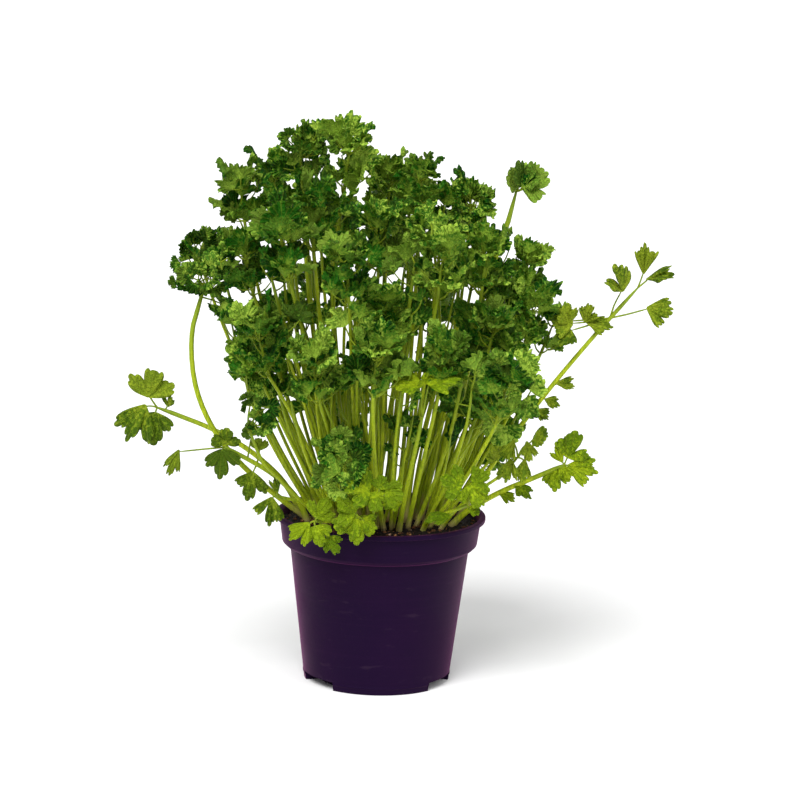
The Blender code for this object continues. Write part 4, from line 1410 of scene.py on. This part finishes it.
def eased(profile: Profile, ease: float, steps: int) -> Profile:
    """Return a profile with its inner corners rounded.

    Args:
        profile: radius and height of each corner.
        ease: how far from a corner the rounding starts.
        steps: points in a rounding.

    Returns:
        The rounded profile.
    """
    smooth = [profile[0]]
    for before, corner, after in zip(profile, profile[1:], profile[2:]):
        a, b, c = (np.array(point, float) for point in (before, corner, after))
        start, end = (b + (far - b) * min(ease / np.linalg.norm(far - b), 0.45) for far in (a, c))
        for t in np.linspace(0.0, 1.0, steps):
            smooth.append(tuple((1.0 - t) ** 2 * start + 2.0 * t * (1.0 - t) * b + t * t * end))
    return [*smooth, profile[-1]]


def add_form(name: str, form: bmesh.types.BMesh) -> Piece:
    """Turn a bmesh into an object of the scene.

    Args:
        name: the object's name.
        form: the bmesh, which is freed.

    Returns:
        The object.
    """
    bmesh.ops.recalc_face_normals(form, faces=form.faces)
    mesh = bpy.data.meshes.new(name)
    form.to_mesh(mesh)
    form.free()
    return stand(name, mesh)


def cut(target: Piece, tool: Piece, operation: str = "DIFFERENCE") -> None:
    """Join or cut a form with a tool, then throw the tool away.

    Args:
        target: the form.
        tool: the tool.
        operation: UNION or DIFFERENCE.
    """
    step = target.modifiers.new(tool.name, "BOOLEAN")
    step.operation = operation
    step.solver = "EXACT"
    step.object = tool
    made = bpy.data.meshes.new_from_object(target.evaluated_get(bpy.context.evaluated_depsgraph_get()))
    target.modifiers.clear()
    target.data = made
    bpy.data.objects.remove(tool)


def lathe(profile: Profile, sides: int) -> bmesh.types.BMesh:
    """Turn a profile about the pot's axis; its ends close at the axis.

    Args:
        profile: radius and height in millimetres, from the axis and back to it.
        sides: facets round the axis.

    Returns:
        The turned form.
    """
    form = bmesh.new()
    ends = [form.verts.new(polar(0.0, 0.0, profile[end][1])) for end in (0, -1)]
    rings = [ring_of(form, radius, height, sides) for radius, height in profile[1:-1]]
    for side in range(sides):
        after = (side + 1) % sides
        form.faces.new((ends[0], rings[0][after], rings[0][side]))
        form.faces.new((ends[1], rings[-1][side], rings[-1][after]))
        for lower, upper in zip(rings, rings[1:]):
            form.faces.new((lower[side], lower[after], upper[after], upper[side]))
    return form


@dataclass
class Pockets:
    """The three raised drainage pockets between the pot's feet; sizes in millimetres."""

    first_foot: float = math.radians(-85.0)
    feet: int = 3
    half_angle: float = math.radians(19.5)
    inner_radius: float = 33.0
    height: float = 5.0
    wall: float = 1.2
    steps: int = 8
    below: float = -2.0
    beyond: float = 46.0
    drain_radius: float = 2.8
    drain_reach: float = 37.3
    drain_offset: float = math.radians(9.0)
    drain_length: float = 5.0
    drain_sides: int = 24

    @property
    def roof(self) -> float:
        """The height of the top of a pocket's roof."""
        return self.height + self.wall

    def middles(self) -> list[float]:
        """Return the azimuth of each pocket's middle."""
        return [self.first_foot + math.pi / self.feet * (2 * foot + 1) for foot in range(self.feet)]

    def blocks(self, name: str, inner: float, outer: float, grow: float, low: float, high: float) -> Piece:
        """Make the curved blocks that shape the pockets.

        Args:
            name: the blocks' name.
            inner: their inner radius.
            outer: their outer radius.
            grow: how much wider than a pocket each is, on each side.
            low: the height of their underside.
            high: the height of their top.

        Returns:
            One object that holds the three blocks.
        """
        form = bmesh.new()
        reach = self.half_angle + grow / self.inner_radius
        corners = ((inner, low), (outer, low), (outer, high), (inner, high))
        for middle in self.middles():
            turns = np.linspace(middle - reach, middle + reach, self.steps)
            rings = [[form.verts.new(polar(radius, turn, z)) for radius, z in corners] for turn in turns]
            for near, far in zip(rings, rings[1:]):
                for corner in range(4):
                    after = (corner + 1) % 4
                    form.faces.new((near[corner], near[after], far[after], far[corner]))
            form.faces.new(rings[0])
            form.faces.new(rings[-1])
        return add_form(name, form)

    def drains(self) -> Piece:
        """Make the rods that pierce the pockets' roofs.

        Returns:
            One object that holds the rods.
        """
        form = bmesh.new()
        radius = self.drain_radius * MM
        size = {"radius1": radius, "radius2": radius, "depth": self.drain_length * MM}
        for middle in self.middles():
            for side in (-1, 1):
                place = polar(self.drain_reach, middle + side * self.drain_offset, self.height + 0.5 * self.wall)
                where = Matrix.Translation(place)
                bmesh.ops.create_cone(form, cap_ends=True, segments=self.drain_sides, matrix=where, **size)
        return add_form("drain_rods", form)


@dataclass
class NurseryPot:
    """The pot: tapered wall, shoulder, collar, rolled lip and three feet; sizes in millimetres."""

    sides: int = 160
    ease: float = 0.45
    ease_steps: int = 4
    crease: float = math.radians(28.0)
    floor: float = 1.2
    housing_reach: float = 41.4
    housing_foot: float = 0.6
    pockets: Pockets = field(default_factory=Pockets)
    outside: Profile = (
        (41.5, 0.0), (41.9, 3.2), (42.25, 3.5), (42.3, 4.3), (42.1, 4.7), (51.0, 77.0),
        (53.5, 78.0), (55.6, 80.0), (57.4, 93.2), (60.0, 93.6), (60.0, 96.0),
    )
    inside: Profile = ((57.0, 96.0), (56.3, 95.0), (54.5, 80.6), (52.7, 79.2), (49.8, 78.0), (40.4, 1.2))

    def build(self) -> Iterable[Piece]:
        """Build the pot.

        Yields:
            The piece that stands for the pot's solid.
        """
        profile = eased([(0.0, 0.0), *self.outside, *self.inside, (0.0, self.floor)], self.ease, self.ease_steps)
        pot = add_form("nursery_pot", lathe(profile, self.sides))
        holes = self.pockets
        inner = holes.inner_radius
        housing = (inner - holes.wall, self.housing_reach, holes.wall, self.housing_foot, holes.roof)
        cut(pot, holes.blocks("housings", *housing), "UNION")
        cut(pot, holes.blocks("recesses", inner, holes.beyond, 0.0, holes.below, holes.height))
        cut(pot, holes.drains())
        pot.data.materials.clear()
        pot.data.materials.append(PotFinish().make())
        pot.data.shade_smooth()
        pot.data.set_sharp_from_angle(angle=self.crease)
        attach(pot, BODY)
        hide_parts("pot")
        yield pot


@dataclass(frozen=True)
class Scatter:
    """Loose grains: their count, least and greatest radius in millimetres, flatness and finish."""

    name: str
    count: int
    radii: tuple[float, float]
    flatness: float
    finish: EarthFinish
    unevenness: float = 0.42
    tilt: float = 0.4


@dataclass
class Compost:
    """The compost: a lumpy plug, bark crumbs and pale perlite grains on it."""

    rings: int = 46
    sides: int = 144
    edge: float = 55.6 * MM
    solid_edge: float = 55.0 * MM
    scatter_edge: float = 54.0 * MM
    lump: float = 1.3 * MM
    lumps: float = 260.0
    fine_lumps: float = 1100.0
    seed: int = 96
    gap: float = 0.3
    side_gap: float = 0.4
    scatters: Sequence[Scatter] = (
        Scatter("bark_crumbs", 300, (0.5, 1.7), 0.55, CRUMB),
        Scatter("perlite_grains", 22, (0.5, 1.3), 0.85, PERLITE),
    )
    wall: Profile = ((54.2, 80.9), (52.5, 79.6), (49.5, 78.2), (40.2, 1.6))
    pockets: Pockets = field(default_factory=Pockets)

    def __post_init__(self) -> None:
        """Take the solid's top as the surface to roughen."""
        mesh = frame["nodes"]["compost"].data
        points = [vertex.co for vertex in mesh.vertices]
        self.solid = BVHTree.FromPolygons(points, [tuple(face.vertices) for face in mesh.polygons])

    def height(self, x: float, y: float) -> float:
        """Return the height of the compost's rough top at a place.

        Args:
            x: place across the pot.
            y: place along the view.

        Returns:
            The height.
        """
        reach = min(1.0, self.solid_edge / max(math.hypot(x, y), 1e-9))
        hit = self.solid.ray_cast(Vector((x * reach, y * reach, 0.2)), Vector((0.0, 0.0, -1.0)))[0]
        place = Vector((x, y, 0.0))
        rough = noise.fractal(place * self.lumps, 0.7, 2.0, 4) * self.lump
        return hit.z + rough + 0.5 * self.lump * noise.noise(place * self.fine_lumps)

    def build_plug(self) -> Piece:
        """Build the plug of compost.

        Returns:
            The piece that stands for the compost's solid.
        """
        form = bmesh.new()
        middle = form.verts.new((0.0, 0.0, self.height(0.0, 0.0)))
        foot = form.verts.new((0.0, 0.0, self.wall[-1][1] * MM))
        turns = [math.tau * side / self.sides for side in range(self.sides)]
        rings = []
        for ring in range(1, self.rings + 1):
            reach = self.edge * ring / self.rings
            spots = [(reach * math.cos(turn), reach * math.sin(turn)) for turn in turns]
            rings.append([form.verts.new((x, y, self.height(x, y))) for x, y in spots])
        rings += [ring_of(form, radius, height, self.sides) for radius, height in self.wall]
        for side in range(self.sides):
            after = (side + 1) % self.sides
            form.faces.new((middle, rings[0][side], rings[0][after]))
            form.faces.new((foot, rings[-1][after], rings[-1][side]))
            for inner, outer in zip(rings, rings[1:]):
                form.faces.new((inner[side], outer[side], outer[after], inner[after]))
        plug = add_form("compost_plug", form)
        holes = self.pockets
        reach = holes.inner_radius - holes.wall - self.gap
        notch = (reach, holes.beyond, holes.wall + self.side_gap, holes.below, holes.roof + self.gap)
        cut(plug, holes.blocks("notches", *notch))
        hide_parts("compost")
        return plug

    def build_scatter(self, scatter: Scatter) -> Piece:
        """Build loose grains on the compost.

        Args:
            scatter: what they are like.

        Returns:
            The piece.
        """
        chance = np.random.default_rng((self.seed, scatter.count))
        form = bmesh.new()
        for _ in range(scatter.count):
            reach = self.scatter_edge * math.sqrt(chance.uniform(0.0, 1.0))
            turn = chance.uniform(0.0, math.tau)
            x, y = reach * math.cos(turn), reach * math.sin(turn)
            radius = chance.uniform(*scatter.radii) * MM
            half = radius * scatter.flatness
            shape = Matrix.Diagonal((radius * chance.uniform(0.7, 1.5), radius, half, 1.0))
            spin = Matrix.Rotation(chance.uniform(0.0, math.tau), 4, "Z")
            spin = spin @ Matrix.Rotation(chance.normal(0.0, scatter.tilt), 4, "X")
            place = Matrix.Translation((x, y, self.height(x, y) + 0.25 * half)) @ spin @ shape
            for vertex in bmesh.ops.create_icosphere(form, subdivisions=1, radius=1.0)["verts"]:
                uneven = noise.noise(vertex.co * 1.4 + Vector((x, y, 0.0)) * 9000.0)
                vertex.co = place @ (vertex.co * (1.0 + scatter.unevenness * uneven))
        return add_form(scatter.name, form)

    def build(self) -> Iterable[Piece]:
        """Build the compost.

        Yields:
            Each of its pieces.
        """
        looks = [(self.build_plug(), COMPOST)]
        looks += [(self.build_scatter(scatter), scatter.finish) for scatter in self.scatters]
        for piece, finish in looks:
            piece.data.materials.clear()
            piece.data.materials.append(finish.make())
            piece.data.shade_smooth()
            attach(piece, BODY)
            yield piece


# --- The studio -------------------------------------------------------------------------------


@dataclass
class Studio:
    """Pale floor, soft lights and the camera; each sun has its side, spread in degrees and strength."""

    floor_reach: float = 12.0
    suns: Sequence[tuple[str, Triple, float, float]] = (
        ("key_sun", (-0.30, -0.85, 1.05), 35.0, 3.1),
        ("fill_sun", (0.9, -0.55, 0.8), 60.0, 0.8),
    )
    sky_strength: float = 0.55
    eye: Triple = (0.0, -1.8, 0.5033)
    pitch_down: float = math.radians(10.74)
    yaw_right: float = math.radians(0.30)
    roll: float = math.radians(1.564)
    lens_mm: float = 145.62
    sensor_mm: float = 36.0

    def build_floor(self) -> None:
        """Lay the floor."""
        mesh = bpy.data.meshes.new("studio_floor")
        reach = self.floor_reach
        corners = [(-reach, -reach, 0.0), (reach, -reach, 0.0), (reach, reach, 0.0), (-reach, reach, 0.0)]
        mesh.from_pydata(corners, [], [(0, 1, 2, 3)])
        mesh.materials.append(FloorFinish().make())
        stand("studio_floor", mesh)

    def build_lights(self) -> None:
        """Hang the wide, far lights, which light the floor evenly, and set the soft light all round."""
        for name, side, spread, strength in self.suns:
            light = bpy.data.lights.new(name, "SUN")
            light.energy = strength
            light.angle = math.radians(spread)
            stand(name, light).rotation_euler = (-Vector(side)).to_track_quat("-Z", "Y").to_euler()
        world = bpy.data.worlds.new("studio_world")
        world.use_nodes = True
        sky = world.node_tree.nodes["Background"]
        sky.inputs["Color"].default_value = (1.0, 1.0, 1.0, 1.0)
        sky.inputs["Strength"].default_value = self.sky_strength
        bpy.context.scene.world = world

    def build_camera(self) -> None:
        """Stand the camera where it sees the pot from slightly above."""
        camera = bpy.data.cameras.new("studio_camera")
        camera.lens = self.lens_mm
        camera.sensor_width = self.sensor_mm
        turn = Matrix.Rotation(-self.yaw_right, 4, "Z")
        tilt = Matrix.Rotation(math.pi / 2.0 - self.pitch_down, 4, "X")
        lean = Matrix.Rotation(self.roll, 4, "Z")
        mast = stand("studio_camera", camera)
        mast.matrix_world = Matrix.Translation(self.eye) @ turn @ tilt @ lean
        bpy.context.scene.camera = mast

    def build(self) -> None:
        """Set up the whole studio."""
        self.build_floor()
        self.build_lights()
        self.build_camera()
        bpy.context.scene.view_settings.view_transform = "Standard"


def main() -> None:
    """Build everything in order and report each piece."""
    logging.basicConfig(level=logging.INFO, format="%(name)s: %(message)s")
    for assembly in (NurseryPot(), Compost(), Plant()):
        for piece in assembly.build():
            LOG.info("%s: %d faces", piece.name, len(piece.data.polygons))
    Studio().build()


if __name__ == "__main__":
    main()
